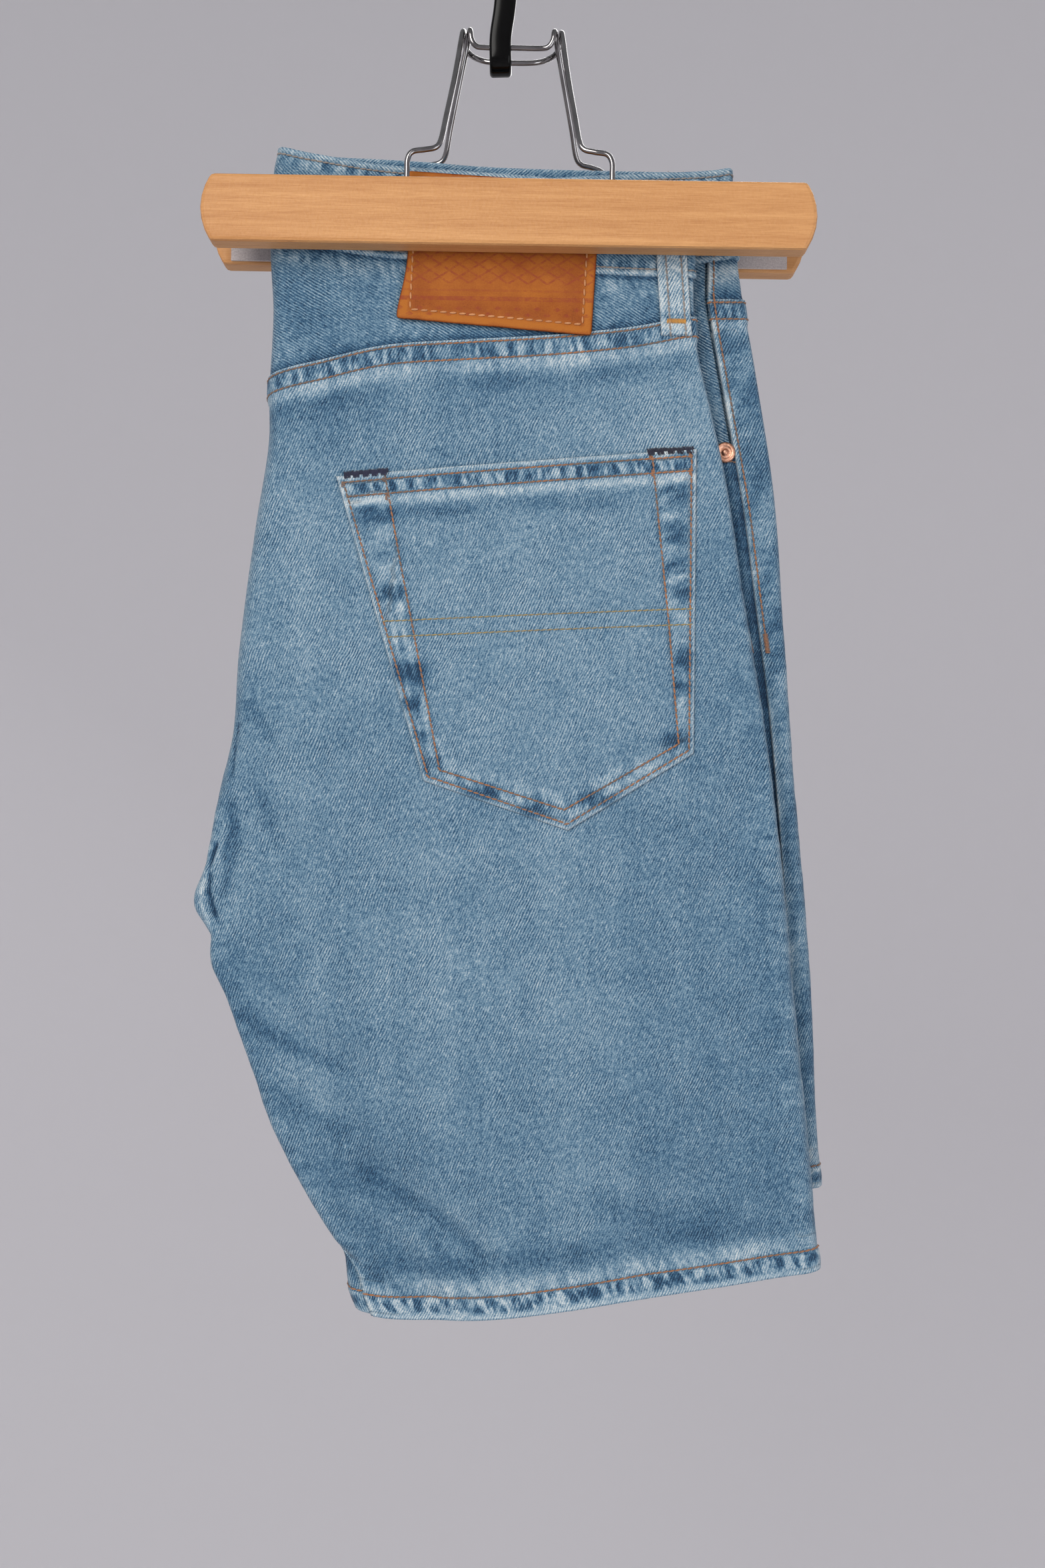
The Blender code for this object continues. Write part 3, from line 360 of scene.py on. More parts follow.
def back_place(half, column, z):
    """The place of a back column; columns run from 0 at the centre back to 11 at the outseam."""
    return column * outseam(half, z) / OUTSEAM_COLUMN


def front_place(half, u, z):
    """The place of a front column; u runs from 0 at the outseam to 1 at the centre front."""
    return mix(outseam(half, z), LAST_PLACE, u)


# --- The denim ---------------------------------------------------------------------------------
# Light stone-washed cotton twill: indigo warp over white weft in steep fine lines, worn pale on
# every raised edge and left blue in the hollows. The tone of a place goes with the mesh: how worn it
# is, with painted shade added in creases, folds and under overlapping edges.
TWILL_PITCH = 1.07
WEAVE_STRETCH, WEAVE_CHANGES = (0.955, 1.07), (-200.0, -560.0)
PANEL_TWILL, YOKE_TWILL, BAND_TWILL, FACING_TWILL, LOOP_TWILL = 66.0, 149.0, 142.0, 153.0, 58.0
WASH = ((0.0, (0.011, 0.034, 0.074)), (0.25, (0.036, 0.102, 0.184)), (0.5, (0.140, 0.244, 0.332)),
        (0.75, (0.340, 0.434, 0.500)), (1.0, (0.610, 0.660, 0.660)))


def add_node(tree, kind, **settings):
    node = tree.nodes.new(kind)
    for name, value in settings.items():
        setattr(node, name, value)
    return node


def texture(tree, kind, vector, inputs, **settings):
    """A texture node on a vector, with its input values by name."""
    node = add_node(tree, kind, **settings)
    tree.links.new(vector, node.inputs["Vector"])
    for name, value in inputs.items():
        node.inputs[name].default_value = value
    return node


def mapped(tree, vector, scale=(1.0, 1.0, 1.0), turn=0.0):
    node = add_node(tree, "ShaderNodeMapping")
    tree.links.new(vector, node.inputs["Vector"])
    node.inputs["Scale"].default_value = scale
    node.inputs["Rotation"].default_value = (0.0, 0.0, radians(turn))
    return node.outputs["Vector"]


def weighted(tree, start, *terms):
    """start plus the sum of weight * (value - 0.5) over terms of (output, weight)."""
    total = None
    for output, weight in terms:
        node = add_node(tree, "ShaderNodeMath", operation='MULTIPLY_ADD')
        tree.links.new(output, node.inputs[0])
        node.inputs[1].default_value = weight
        if total is None:
            node.inputs[2].default_value = start - 0.5 * sum(weight for _, weight in terms)
        else:
            tree.links.new(total, node.inputs[2])
        total = node.outputs[0]
    return total


def ramped(tree, factor, stops, interpolation='LINEAR'):
    """A colour ramp through stops of (place, colour)."""
    node = add_node(tree, "ShaderNodeValToRGB")
    tree.links.new(factor, node.inputs["Fac"])
    node.color_ramp.interpolation = interpolation
    elements = node.color_ramp.elements
    while len(elements) < len(stops):
        elements.new(0.5)
    for element, (place, colour) in zip(elements, stops):
        element.position = place
        element.color = (*colour, 1.0)
    return node.outputs["Color"]


def multiplied(tree, first, second):
    node = add_node(tree, "ShaderNodeMath", operation='MULTIPLY')
    tree.links.new(first, node.inputs[0])
    tree.links.new(second, node.inputs[1])
    return node.outputs[0]


def bumped(tree, height, distance, strength, shader):
    node = add_node(tree, "ShaderNodeBump")
    node.inputs["Distance"].default_value = distance
    node.inputs["Strength"].default_value = strength
    tree.links.new(height, node.inputs["Height"])
    tree.links.new(node.outputs["Normal"], shader.inputs["Normal"])


def denim(name, angle, contrast=1.0):
    """Twill whose lines rise at an angle over the weave coordinates, which are in millimetres."""
    made, shader = principled(name, WASH[len(WASH) // 2][1], 0.92)
    tree = made.node_tree
    weave = add_node(tree, "ShaderNodeUVMap", uv_map="weave").outputs["UV"]
    sway = texture(tree, "ShaderNodeTexNoise", weave, {"Scale": 0.05, "Detail": 3.0})
    swayed = add_node(tree, "ShaderNodeVectorMath", operation='MULTIPLY_ADD')
    tree.links.new(sway.outputs["Color"], swayed.inputs[0])
    swayed.inputs[1].default_value = (3.0, 3.0, 0.0)
    tree.links.new(weave, swayed.inputs[2])
    along = mapped(tree, swayed.outputs["Vector"], turn=-angle)
    twill = texture(tree, "ShaderNodeTexWave", along,
                    {"Scale": 2 * pi / (20 * TWILL_PITCH), "Distortion": 0.0}, bands_direction='Y')
    patchy = texture(tree, "ShaderNodeTexNoise", weave, {"Scale": 0.045, "Detail": 2.0})
    lines = multiplied(tree, weighted(tree, 0.0, (twill.outputs["Fac"], 1.0)),
                       weighted(tree, 0.86, (patchy.outputs["Fac"], 2.0)))
    floats = texture(tree, "ShaderNodeTexNoise", mapped(tree, along, scale=(0.45, 1.0, 1.0)),
                     {"Scale": 1.25, "Detail": 2.0, "Roughness": 0.7})
    specks = texture(tree, "ShaderNodeTexNoise", weave, {"Scale": 1.7, "Detail": 1.0})
    slubs = texture(tree, "ShaderNodeTexNoise", mapped(tree, weave, scale=(0.9, 0.05, 1.0)),
                    {"Scale": 1.0, "Detail": 2.0})
    mottle = texture(tree, "ShaderNodeTexNoise", weave, {"Scale": 0.42, "Detail": 3.0})
    clouds = texture(tree, "ShaderNodeTexNoise", weave,
                     {"Scale": 0.07, "Detail": 4.0, "Roughness": 0.6})
    tone = add_node(tree, "ShaderNodeAttribute", attribute_name="tone").outputs["Fac"]
    pucker = add_node(tree, "ShaderNodeAttribute", attribute_name="pucker").outputs["Vector"]
    pull = add_node(tree, "ShaderNodeSeparateXYZ")
    tree.links.new(pucker, pull.inputs[0])
    strokes = texture(tree, "ShaderNodeTexNoise",
                      mapped(tree, mapped(tree, pucker, turn=12.0), scale=(0.27, 0.06, 0.0)),
                      {"Scale": 1.0, "Detail": 2.0, "Roughness": 0.55})
    crisp = ramped(tree, strokes.outputs["Fac"], ((0.40, (0.0,) * 3), (0.60, (1.0,) * 3)))
    puckers = multiplied(tree, weighted(tree, 0.0, (crisp, 1.0)), pull.outputs["Z"])
    worn = weighted(tree, 0.95 + 0.17 * contrast, (tone, 0.5), (puckers, 0.5), (lines, 0.34 * contrast),
                    (floats.outputs["Fac"], 0.86 * contrast), (specks.outputs["Fac"], 0.56 * contrast),
                    (slubs.outputs["Fac"], 0.18), (mottle.outputs["Fac"], 0.40),
                    (clouds.outputs["Fac"], 0.26))
    tree.links.new(ramped(tree, worn, WASH), shader.inputs["Base Color"])
    relief = weighted(tree, 0.5, (twill.outputs["Fac"], 0.8), (floats.outputs["Fac"], 0.8),
                      (puckers, 2.2))
    bumped(tree, relief, 0.12 * MM, 0.7, shader)
    shader.inputs["Specular IOR Level"].default_value = 0.22
    shader.inputs["Sheen Weight"].default_value = 0.16
    shader.inputs["Sheen Roughness"].default_value = 0.55
    return made


DENIM = denim("washed_denim", PANEL_TWILL)
DENIM_YOKE = denim("washed_denim_cut_across", YOKE_TWILL)
DENIM_BAND = denim("washed_denim_band", BAND_TWILL)
DENIM_FACING = denim("shaded_denim", FACING_TWILL, 1.25)
DENIM_LOOP = denim("pale_denim", LOOP_TWILL, 1.3)


def wander(place, seed):
    """An uneven wave between about -1 and 1, the same for the same seed."""
    return (np.sin(place + seed) + 0.7 * np.sin(2.3 * place + 2.1 * seed)
            + 0.5 * np.sin(4.1 * place + 3.7 * seed)) / 1.7


def ropes(along, pitch, seed):
    """Puckers along a seam: ridges at 1, hollows at -1, uneven in spacing and strength."""
    wave = np.sin(2 * pi * (along / pitch + 0.45 * wander(along / (4.0 * pitch), seed)))
    return wave * (0.72 + 0.28 * wander(along / (2.6 * pitch), seed + 5.0))


def bell(value, centre, width):
    return np.exp(-((value - centre) / width) ** 2)


def quarter(t):
    """The rise of a quarter circle, from 0 where t is 0 to 1 where it is 1."""
    return np.sqrt(1 - (1 - np.clip(t, 0.0, 1.0)) ** 2)


def grid_of(columns, rows):
    """Two arrays, a column value and a row value for each point of a grid."""
    return np.meshgrid(np.asarray(columns, float), np.asarray(rows, float))


def spaced(start, end, step):
    return np.linspace(start, end, max(int(ceil(abs(end - start) / step)), 1) + 1)


def joined(*runs):
    """Runs of values one after another, each starting where the last one ended."""
    return np.concatenate([runs[0]] + [run[1:] for run in runs[1:]])


def arc_along(points):
    """Distance along each row of a grid of points."""
    steps = np.linalg.norm(np.diff(points, axis=1), axis=2)
    return np.concatenate([np.zeros((len(points), 1)), np.cumsum(steps, axis=1)], 1)


def way_along(points):
    """Distance along one row of points."""
    return arc_along(points[None])[0]


def weave_of(half, points):
    """Coordinates in the cloth, across and up it, straight in the middle of the side that shows."""
    across, x = arc_along(points), points[..., 0]
    rows = np.arange(len(x))
    if half == NEAR:
        anchor = np.abs(x).argmin(axis=1)
        start = x[rows, anchor] * np.sign(x[:, -1] - x[:, 0]) - across[rows, anchor]
    else:
        anchor = x.argmax(axis=1)
        start = -x[rows, anchor] - across[rows, anchor]
    finer = mix(*WEAVE_STRETCH, np.clip((WEAVE_CHANGES[0] - points[..., 2]) / np.ptp(WEAVE_CHANGES), 0, 1))
    return np.stack([-half * (start[:, None] + across) * finer, points[..., 2]], -1)


def woven(name, half, points, tone, wall, finish, weave=None, closed=False, pucker=None):
    """A piece of cloth: a grid of outer points (rows, columns), given a wall."""
    rows, columns = points.shape[:2]
    shape = bmesh.new()
    bmesh.ops.create_grid(shape, x_segments=columns - 1, y_segments=rows - 1, size=1.0)
    made = finished(name, shape, finish)
    mesh = made.data
    flat = np.empty(3 * len(mesh.vertices), np.float32)
    mesh.vertices.foreach_get("co", flat)
    column = np.rint((flat[0::3] + 1) / 2 * (columns - 1)).astype(int)
    row = np.rint((1 - flat[1::3]) / 2 * (rows - 1)).astype(int)
    mesh.vertices.foreach_set("co", (points[row, column] * MM).astype(np.float32).ravel())
    if weave is None:
        weave = weave_of(half, points)
    corner = np.empty(len(mesh.loops), np.int32)
    mesh.loops.foreach_get("vertex_index", corner)
    layer = mesh.uv_layers.get("UVMap") or mesh.uv_layers.new()
    layer.name = "weave"
    layer.data.foreach_set("uv", weave[row, column][corner].astype(np.float32).ravel())
    worn = mesh.attributes.new("tone", 'FLOAT', 'POINT')
    shade = np.broadcast_to(tone, (rows, columns))[row, column]
    worn.data.foreach_set("value", shade.astype(np.float32))
    if pucker is not None:
        pulled = mesh.attributes.new("pucker", 'FLOAT_VECTOR', 'POINT')
        pulled.data.foreach_set("vector", pucker[row, column].astype(np.float32).ravel())
    if half == FAR:
        mesh.flip_normals()
    if closed:
        weld(mesh)
    if wall:
        shell = made.modifiers.new("wall", 'SOLIDIFY')
        shell.thickness = wall * MM
        shell.offset = -1.0
    return made


def strongest(*seams):
    """Along, away and pull of whichever seam pulls most at each point, from those of each."""
    shape = np.broadcast_shapes(*(np.shape(value) for puckers in seams for value in puckers))
    stacked = np.array([[np.broadcast_to(value, shape) for value in puckers] for puckers in seams])
    best = stacked[:, 2].argmax(axis=0)
    return np.stack([np.take_along_axis(stacked[:, k], best[None], 0)[0] for k in range(3)], -1)


def weld(mesh):
    shape = bmesh.new()
    shape.from_mesh(mesh)
    bmesh.ops.remove_doubles(shape, verts=shape.verts, dist=0.01 * MM)
    shape.to_mesh(mesh)
    shape.free()


def worn_part(made, slot, *nodes):
    """The piece rides on the one body and stands for its nodes; slot is not used."""
    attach(made, "root")
    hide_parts(*nodes)
    return made


# --- Sewing thread -----------------------------------------------------------------------------
# Core-spun topstitching thread, worn in places: rust orange on the panels' seams, duller round the
# waistband, gold on the loops' bar tacks, tan on the patch, and on the pockets khaki for the rows
# across and navy for the tacks. Each stitch is a bead of thread that dips into the cloth.
STITCH_PITCH, STITCH_LENGTH, THREAD = 2.6, 2.8, 0.9
BAR_TACK = {"length": 2.4, "skew": 86.0, "rise": 0.3}


def thread(name, bright, dull):
    made, shader = principled(name, bright, 0.75)
    tree = made.node_tree
    place = add_node(tree, "ShaderNodeTexCoord").outputs["Object"]
    fade = texture(tree, "ShaderNodeTexNoise", place, {"Scale": 45.0, "Detail": 4.0})
    plies = texture(tree, "ShaderNodeTexNoise", place, {"Scale": 2600.0, "Detail": 0.0})
    mixed = weighted(tree, 0.5, (fade.outputs["Fac"], 2.4), (plies.outputs["Fac"], 1.0))
    tree.links.new(ramped(tree, mixed, ((0.15, dull), (0.85, bright))), shader.inputs["Base Color"])
    shader.inputs["Sheen Weight"].default_value = 0.2
    return made


RUST = thread("rust_thread", (0.37, 0.155, 0.066), (0.160, 0.110, 0.085))
GOLD = thread("gold_thread", (0.62, 0.30, 0.055), (0.46, 0.22, 0.06))
DULL = thread("dull_thread", (0.30, 0.26, 0.23), (0.22, 0.20, 0.19))
NAVY = thread("navy_thread", (0.005, 0.006, 0.020), (0.014, 0.017, 0.050))
TAN = thread("tan_thread", (0.62, 0.28, 0.11), (0.46, 0.20, 0.08))
KHAKI = thread("khaki_thread", (0.34, 0.26, 0.11), (0.27, 0.22, 0.13))


def thread_bead():
    """One stitch, a round bead one millimetre long and wide."""
    shape = bmesh.new()
    bmesh.ops.create_uvsphere(shape, u_segments=6, v_segments=4, radius=0.5)
    mesh = bpy.data.meshes.new("thread_bead")
    shape.to_mesh(mesh)
    shape.free()
    return mesh


BEAD = thread_bead()


def stitched(name, rows, finish, pitch=STITCH_PITCH, length=STITCH_LENGTH, width=THREAD, skew=6.0,
             rise=0.1):
    """Stitches along rows of (points, outward normals)."""
    turns = []
    for points, normals in rows:
        travelled = way_along(points)

        def at(distance, values):
            return Vector([np.interp(distance, travelled, values[:, axis]) for axis in range(3)])

        count = max(int(round(travelled[-1] / pitch)), 1)
        for k in range(count):
            middle = (k + 0.5) * travelled[-1] / count
            ahead, behind = at(middle + 0.4 * length, points), at(middle - 0.4 * length, points)
            along = (ahead - behind).normalized()
            up = at(middle, normals).normalized()
            along = Matrix.Rotation(radians(skew), 3, up) @ along
            side = up.cross(along).normalized()
            axes = Matrix((side * width, up * width, along * length)).transposed().to_4x4()
            turns.append(Matrix.Translation(at(middle, points) + rise * up) @ axes)
    shape = bmesh.new()
    for _ in turns:
        shape.from_mesh(BEAD)
    made = finished(name, shape, finish)
    bead = np.empty(3 * len(BEAD.vertices), np.float32)
    BEAD.vertices.foreach_get("co", bead)
    bead = np.c_[bead.reshape(-1, 3), np.ones(len(BEAD.vertices))]
    turns = np.array([[list(line) for line in turn] for turn in turns])
    beads = np.einsum("nij,vj->nvi", turns, bead)
    made.data.vertices.foreach_set("co", (beads[..., :3] * MM).astype(np.float32).ravel())
    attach(made, "root")
    return made


def smooth_row(corners, step=1.5):
    """Points x, z along straight runs between corners."""
    runs = []
    for (x0, z0), (x1, z1) in zip(corners, corners[1:]):
        t = spaced(0.0, 1.0, step / max(np.hypot(x1 - x0, z1 - z0), step))
        runs.append(np.stack([mix(x0, x1, t), mix(z0, z1, t)], -1)[(1 if runs else 0):])
    return np.concatenate(runs)


# --- The back leg panels -----------------------------------------------------------------------
# The largest pieces, from the yoke to the hem. Their top edge is folded over the yoke and felled
# with two rows of stitching; the hem is turned up once and topstitched; the outseam edge stands
# proud of the front panel.
PANEL_WALL, PANEL_LIFT = 0.9, 0.6
FELL, FELL_ROW = 8.4, 1.5             # the two rows' distances below a felled seam's folded edge
OUTSEAM_ROW, CENTRE_ROWS = 2.6, (2.0, 8.0)
CENTRE_ROWS_END = {NEAR: -318.0, FAR: CROTCH + 8.0}
OUTSEAM_ROW_END, CENTRE_COLUMN = -322.0, 60
HEM_DEPTH, HEM_ROLL, HEM_INSIDE_TONE = 9.4, 1.0, 0.30
SIDE_ALLOWANCE = 9.0                  # what is folded back under a seam's edge
BACK_COLUMNS = {NEAR: joined(spaced(0, 0.1, 0.02), spaced(0.1, 1, 0.08), spaced(1, 3, 0.12),
                             spaced(3, 8, 0.08), spaced(8, 10.9, 0.09), spaced(10.9, 11, 0.02)),
                FAR: joined(spaced(0, 0.1, 0.025), spaced(0.1, 3, 0.12), spaced(3, 8, 0.09),
                            spaced(8, 10.9, 0.08), spaced(10.9, 11, 0.025))}
# broad lighter (+) and darker (-) areas: the cloth's washed colour, with painted shade in the folds of
# the crotch and lower leg and towards the right side: x, z, half width, half height, amount
WASH_AND_SHADE_AREAS = ((-104, -389, 13, 16, -0.16), (-119, -411, 9, 20, 0.22), (-96, -402, 8, 14, 0.05),
              (-70, -320, 45, 80, 0.01), (20, -215, 120, 12, -0.06), (60, -226, 34, 22, 0.22),
              (-92, -428, 30, 30, -0.06), (-104, -475, 30, 40, -0.16), (100, -500, 40, 110, -0.16),
              (-30, -470, 60, 50, 0.04), (-60, -545, 46, 30, -0.26), (20, -575, 110, 14, -0.10),
              (92, -330, 20, 50, -0.10), (-84, -228, 26, 12, -0.14),
              (-74, -300, 22, 60, 0.06), (10, -300, 50, 40, 0.06), (20, -400, 30, 14, 0.10))


def wash_and_shade(half, x, z):
    """Tone: broad areas, partly painted shade in folds, and uneven streaks strongest on the far outseam."""
    areas = sum(amount * np.exp(-((x - x0) / wide) ** 2 - ((z - z0) / high) ** 2)
                for x0, z0, wide, high, amount in WASH_AND_SHADE_AREAS)
    streaks = (0.05 * wander(x / 9.0 + z / 160.0, 2.0 + half)
               + 0.04 * wander(z / 21.0 + x / 70.0, 4.0))
    if half == FAR:
        strip = ease((x - 78.0) / 8.0)
        streaks = (streaks - 0.12 * strip + 0.26 * strip * wander(z / 16.0 - x / 7.0, 3.0)
                   - 0.25 * bell(z, -205.0, 14.0) * ease((x - 86.0) / 6.0))
    return areas + streaks


def line_away(x, z, start, end):
    """Distance of points from a straight line, positive on its left."""
    run_x, run_z = end[0] - start[0], end[1] - start[1]
    return ((z - start[1]) * run_x - (x - start[0]) * run_z) / np.hypot(run_x, run_z)


def from_lines(x, z, corners):
    """Distance from the nearest stretch of a broken line."""
    return np.minimum.reduce([from_run(x, z, *start, *end) for start, end in zip(corners, corners[1:])])


# soft creases (-) and ridges (+) of the near leg, their tone painted shade in the creases and paler on
# the ridges: corners x, z; half width; amount
CREASES = ((((-116.5, -403), (-119.2, -412), (-119.4, -423), (-116, -433)), 0.8, -1.15),
           (((-118.6, -412), (-122.4, -423), (-122.0, -428), (-117.8, -437)), 0.8, 0.5),
           (((-110.0, -396), (-113.5, -410)), 1.3, -0.28),
           (((-113.6, -396), (-116.4, -410)), 1.0, 0.26),
           (((-108.4, -353), (-109.4, -362), (-110.7, -375)), 0.6, -0.6),
           (((-104, -474), (-84, -485), (-64, -493)), 2.6, -0.28),
           (((-100, -466), (-80, -477)), 5.0, 0.13),
           (((-96, -501), (-80, -511), (-62, -519)), 3.4, -0.18),
           (((-90, -494), (-66, -508)), 5.0, 0.1),
           (((-54, -534), (-37, -544), (-22, -553), (-2, -571)), 3.2, -0.29),
           (((-40, -538), (-16, -551), (4, -566)), 4.0, 0.15),
           (((-60, -545), (-30, -562), (-12, -575)), 4.0, 0.11),
           (((-28, -560), (-18, -570), (-6, -577)), 2.2, -0.24),
           (((-98, -384), (-91, -401)), 2.4, -0.28), (((-103, -345), (-95, -358)), 2.4, -0.24),
           (((-111, -386), (-108, -402), (-114, -424)), 2.2, -0.35),
           (((-108, -376), (-101, -400), (-112, -436)), 3.6, 0.14),
           (((40, -546), (70, -553), (96, -549)), 5.0, -0.13),
           (((-50, -578), (-38, -583), (-24, -585)), 2.6, -0.35),
           (((112, -352), (122, -455), (129, -520)), 1.6, 0.15))


def creased(x, z):
    """Lift of the creases, and tone: painted shade in the creases, paler along the ridges."""
    folds = sum(amount * bell(from_lines(x, z, corners), 0.0, wide) for corners, wide, amount in CREASES)
    return 1.6 * folds, folds


def lip(away, reach, depth):
    """How far a rounded edge has turned down at a distance from it."""
    return -depth * (1 - quarter(away / reach))


def fell_relief(down, along, seed):
    """Lift, tone and pull below a folded seam edge, by the distance down from it and along it."""
    rope = ropes(along, 5.6, seed)
    uneven = wander(along / 14.0, seed + 3)
    inside = ease((down - 1.8) / 0.8) * ease((FELL - 0.2 - down) / 0.8)
    below = bell(down, FELL + 2.6, 3.2 + 0.8 * uneven)
    lift = (1.0 * (1 - ease((down - FELL) / 3.5)) + lip(down, 0.7, 1.3)
            - 0.38 * bell(down, FELL_ROW, 0.75) - 0.42 * bell(down, FELL, 0.9)
            + 0.16 * rope * inside + 0.14 * rope * below)
    tone = (0.46 * bell(down, 0.3, 1.0) - (0.14 - 0.12 * uneven) * inside
            + (0.36 + 0.16 * uneven) * below
            - 0.24 * bell(down, FELL_ROW, 0.8) - 0.26 * bell(down, FELL, 0.8)
            - 0.26 * bell(down, FELL + 10.0, 4.0) * (0.6 + 0.6 * wander(along / 23.0, seed)))
    pull = (0.90 + 0.15 * uneven) * inside + 0.30 * below + 0.3 * bell(down, 0.4, 0.8)
    return lift, tone, pull


def hem_relief(up, along, seed):
    """Lift, tone and pull above a hem's folded edge."""
    rope = ropes(along, 6.8, seed)
    patchy = 0.5 + 0.5 * wander(along / 17.0, seed + 2)
    inside = ease((up - 2.2) / 1.6) * ease((HEM_DEPTH - 0.4 - up) / 0.8)
    above = bell(up, HEM_DEPTH + 2.6, 4.0 + 1.6 * patchy)
    lift = (0.55 * (1 - ease((up - HEM_DEPTH) / 1.6)) - 0.45 * bell(up, HEM_DEPTH, 0.9)
            + 0.18 * rope * inside + 0.26 * rope * above * patchy)
    tone = (0.66 * bell(up, 0.4, 3.0) - 0.09 * inside + above * (0.30 + 0.26 * patchy)
            - 0.26 * bell(up, HEM_DEPTH, 0.8)
            - 0.30 * bell(up, HEM_DEPTH + 12.0, 4.5) * (0.7 + 0.5 * wander(along / 9.0, seed + 1)))
    return lift, tone, 1.12 * inside + 0.40 * above


def hem_strokes(along, down):
    """Where the wide upright puckers of a hem take their strokes from."""
    return 0.88 * along + 0.38 * down, 1.8 * down


def edge_relief(away, down, reach, seed):
    """Lift, tone and pull beside a seam whose allowances lie under this panel."""
    bumps = wander(down / 5.2, seed)
    near = 1 - ease((away - reach) / 3.0)
    lift = 0.45 * near + 0.14 * bumps * near + lip(away, 0.8, 1.5)
    tone = 0.42 * bell(away, 0.3, 1.1) + near * (0.03 + 0.06 * bumps)
    return lift, tone, 0.22 * near


def seam(half, points, value, level, axis):
    """A row for stitched(), where a steadily growing value passes a level on a grid of points."""
    normals = np.cross(np.gradient(points, axis=0), np.gradient(points, axis=1)) * -half
    normals /= np.linalg.norm(normals, axis=-1, keepdims=True) + 1e-9
    if axis == 0:
        points, normals, value = points.transpose(1, 0, 2), normals.transpose(1, 0, 2), value.T
    return tuple(np.array([[np.interp(level, v, line[:, k]) for k in range(3)]
                           for line, v in zip(grid, value)]) for grid in (points, normals))


def turned_up(half, s, foot, lift, panel, tone, pucker):
    """A panel's points, tone and puckers, and below them the rows of its hem: its edge rolls under
    and runs back up inside."""
    under = [(HEM_ROLL * (1 - sin(a)), HEM_ROLL * (cos(a) - 1)) for a in
             (radians(d) for d in range(15, 166, 25))]
    under += [(HEM_ROLL + rise, -2 * HEM_ROLL) for rise in spaced(0.0, HEM_DEPTH, 3.0)]
    under = np.array(under)
    s = np.broadcast_to(s[-1], (len(under), s.shape[1]))
    rolled = cloth(half, s, foot + under[:, :1], lift[-1] + under[:, 1:])
    return (np.concatenate([panel, rolled]), np.concatenate([tone, np.full(s.shape, HEM_INSIDE_TONE)]),
            np.concatenate([pucker, np.zeros(rolled.shape)]))


EDGE_STEPS = np.array([0.0, 0.05, 0.15, 0.35, 0.7])
PANEL_ROWS = 400.0                    # a panel's height in its rows' own measure


def fitted_rows(top, foot, above, below, step):
    """Heights in rows that keep their distance from the top and the foot and stretch between."""
    last = PANEL_ROWS - below
    v = joined(EDGE_STEPS, spaced(EDGE_STEPS[-1], above, 0.6), spaced(above, last, step),
               spaced(last, PANEL_ROWS, 0.9))[:, None]
    between = mix(top - above, foot + below, (v - above) / (last - above))
    return np.where(v < above, top - v, np.where(v > last, foot + PANEL_ROWS - v, between))


def back_panel(half, step):
    column = BACK_COLUMNS[half]
    top, foot = read(YOKE[half], column), read(HEM[half], back_place(half, column, HEM_LEVEL))
    z = fitted_rows(top, foot + HEM_ROLL, 16.0, 28.0, step)
    s = back_place(half, np.broadcast_to(column, z.shape), z)
    flat = bare(half, s, z)
    x, across = flat[..., 0], arc_along(flat)
    away = across[:, -1:] - across
    seed = 1.3 if half == NEAR else 4.1
    fell, fell_tone, fell_pull = fell_relief(top - z, across, seed)
    hem, hem_tone, hem_pull = hem_relief(z - foot, across, seed + 2)
    side, side_tone, side_pull = edge_relief(away, z, SIDE_ALLOWANCE, seed + 3)
    inner, inner_tone, inner_pull = edge_relief(across, z, SIDE_ALLOWANCE, seed + 4)
    inner = inner + 1.1 * (1 - ease(across / 0.9)) * ease((INSEAM_SHOWS[0] - z) / 6.0)
    folds, crease_shade_tone = creased(x, z)
    lift = PANEL_LIFT + fell + hem + side + inner + folds + 0.10 * wander(x / 13.0 + z / 31.0, seed)
    # the creases' tone is painted shade
    tone = wash_and_shade(half, x, z) + fell_tone + hem_tone + side_tone + inner_tone + crease_shade_tone
    if half == FAR:
        tone = tone + 0.40 * bell(away, 1.2, 1.2) * ease((z + 246.0) / 10.0)
    pucker = strongest((across, top - z, fell_pull), (*hem_strokes(across, foot - z), hem_pull),
                       (z, away, side_pull), (z, across, inner_pull))
    outer = cloth(half, s, z, lift)
    points, tone, pucker = turned_up(half, s, foot, lift, outer, tone, pucker)
    made = woven(f"back_panel_{SIDES[half]}", half, points, tone, PANEL_WALL, DENIM, pucker=pucker)
    worn_part(made, "denim", f"back_{SIDES[half]}", f"hem_{SIDES[half]}")
    upper, hip = z[:, CENTRE_COLUMN] > CENTRE_ROWS_END[half], z[:, -1] > OUTSEAM_ROW_END
    stitched(f"back_stitches_{SIDES[half]}",
             [seam(half, outer, top - z, row, 0) for row in (FELL_ROW, FELL)]
             + [seam(half, outer, foot - z, -HEM_DEPTH, 0)]
             + [seam(half, outer[upper], across[upper], row, 1) for row in CENTRE_ROWS]
             + [seam(half, outer[hip], -away[hip], -OUTSEAM_ROW, 1)], RUST)
    last = np.flatnonzero(hip)[-1]
    tacked = slice(last - 3, last + 1)
    tack = seam(half, outer[tacked], -away[tacked], -OUTSEAM_ROW, 1)
    stitched(f"outseam_tack_{SIDES[half]}", [tack], RUST, pitch=0.6, width=0.6, **BAR_TACK)


back_panel(NEAR, 2.0)
back_panel(FAR, 3.0)


# --- The yokes ---------------------------------------------------------------------------------
# Two shaped pieces between the waistband and the leg panels, cut across the cloth so that their
# twill leans the other way. Their lower edge is under the panels' fold, their upper one in the band.
YOKE_LIFT, UNDER_FOLD, UNDER_BAND = 0.45, 5.0, 4.0


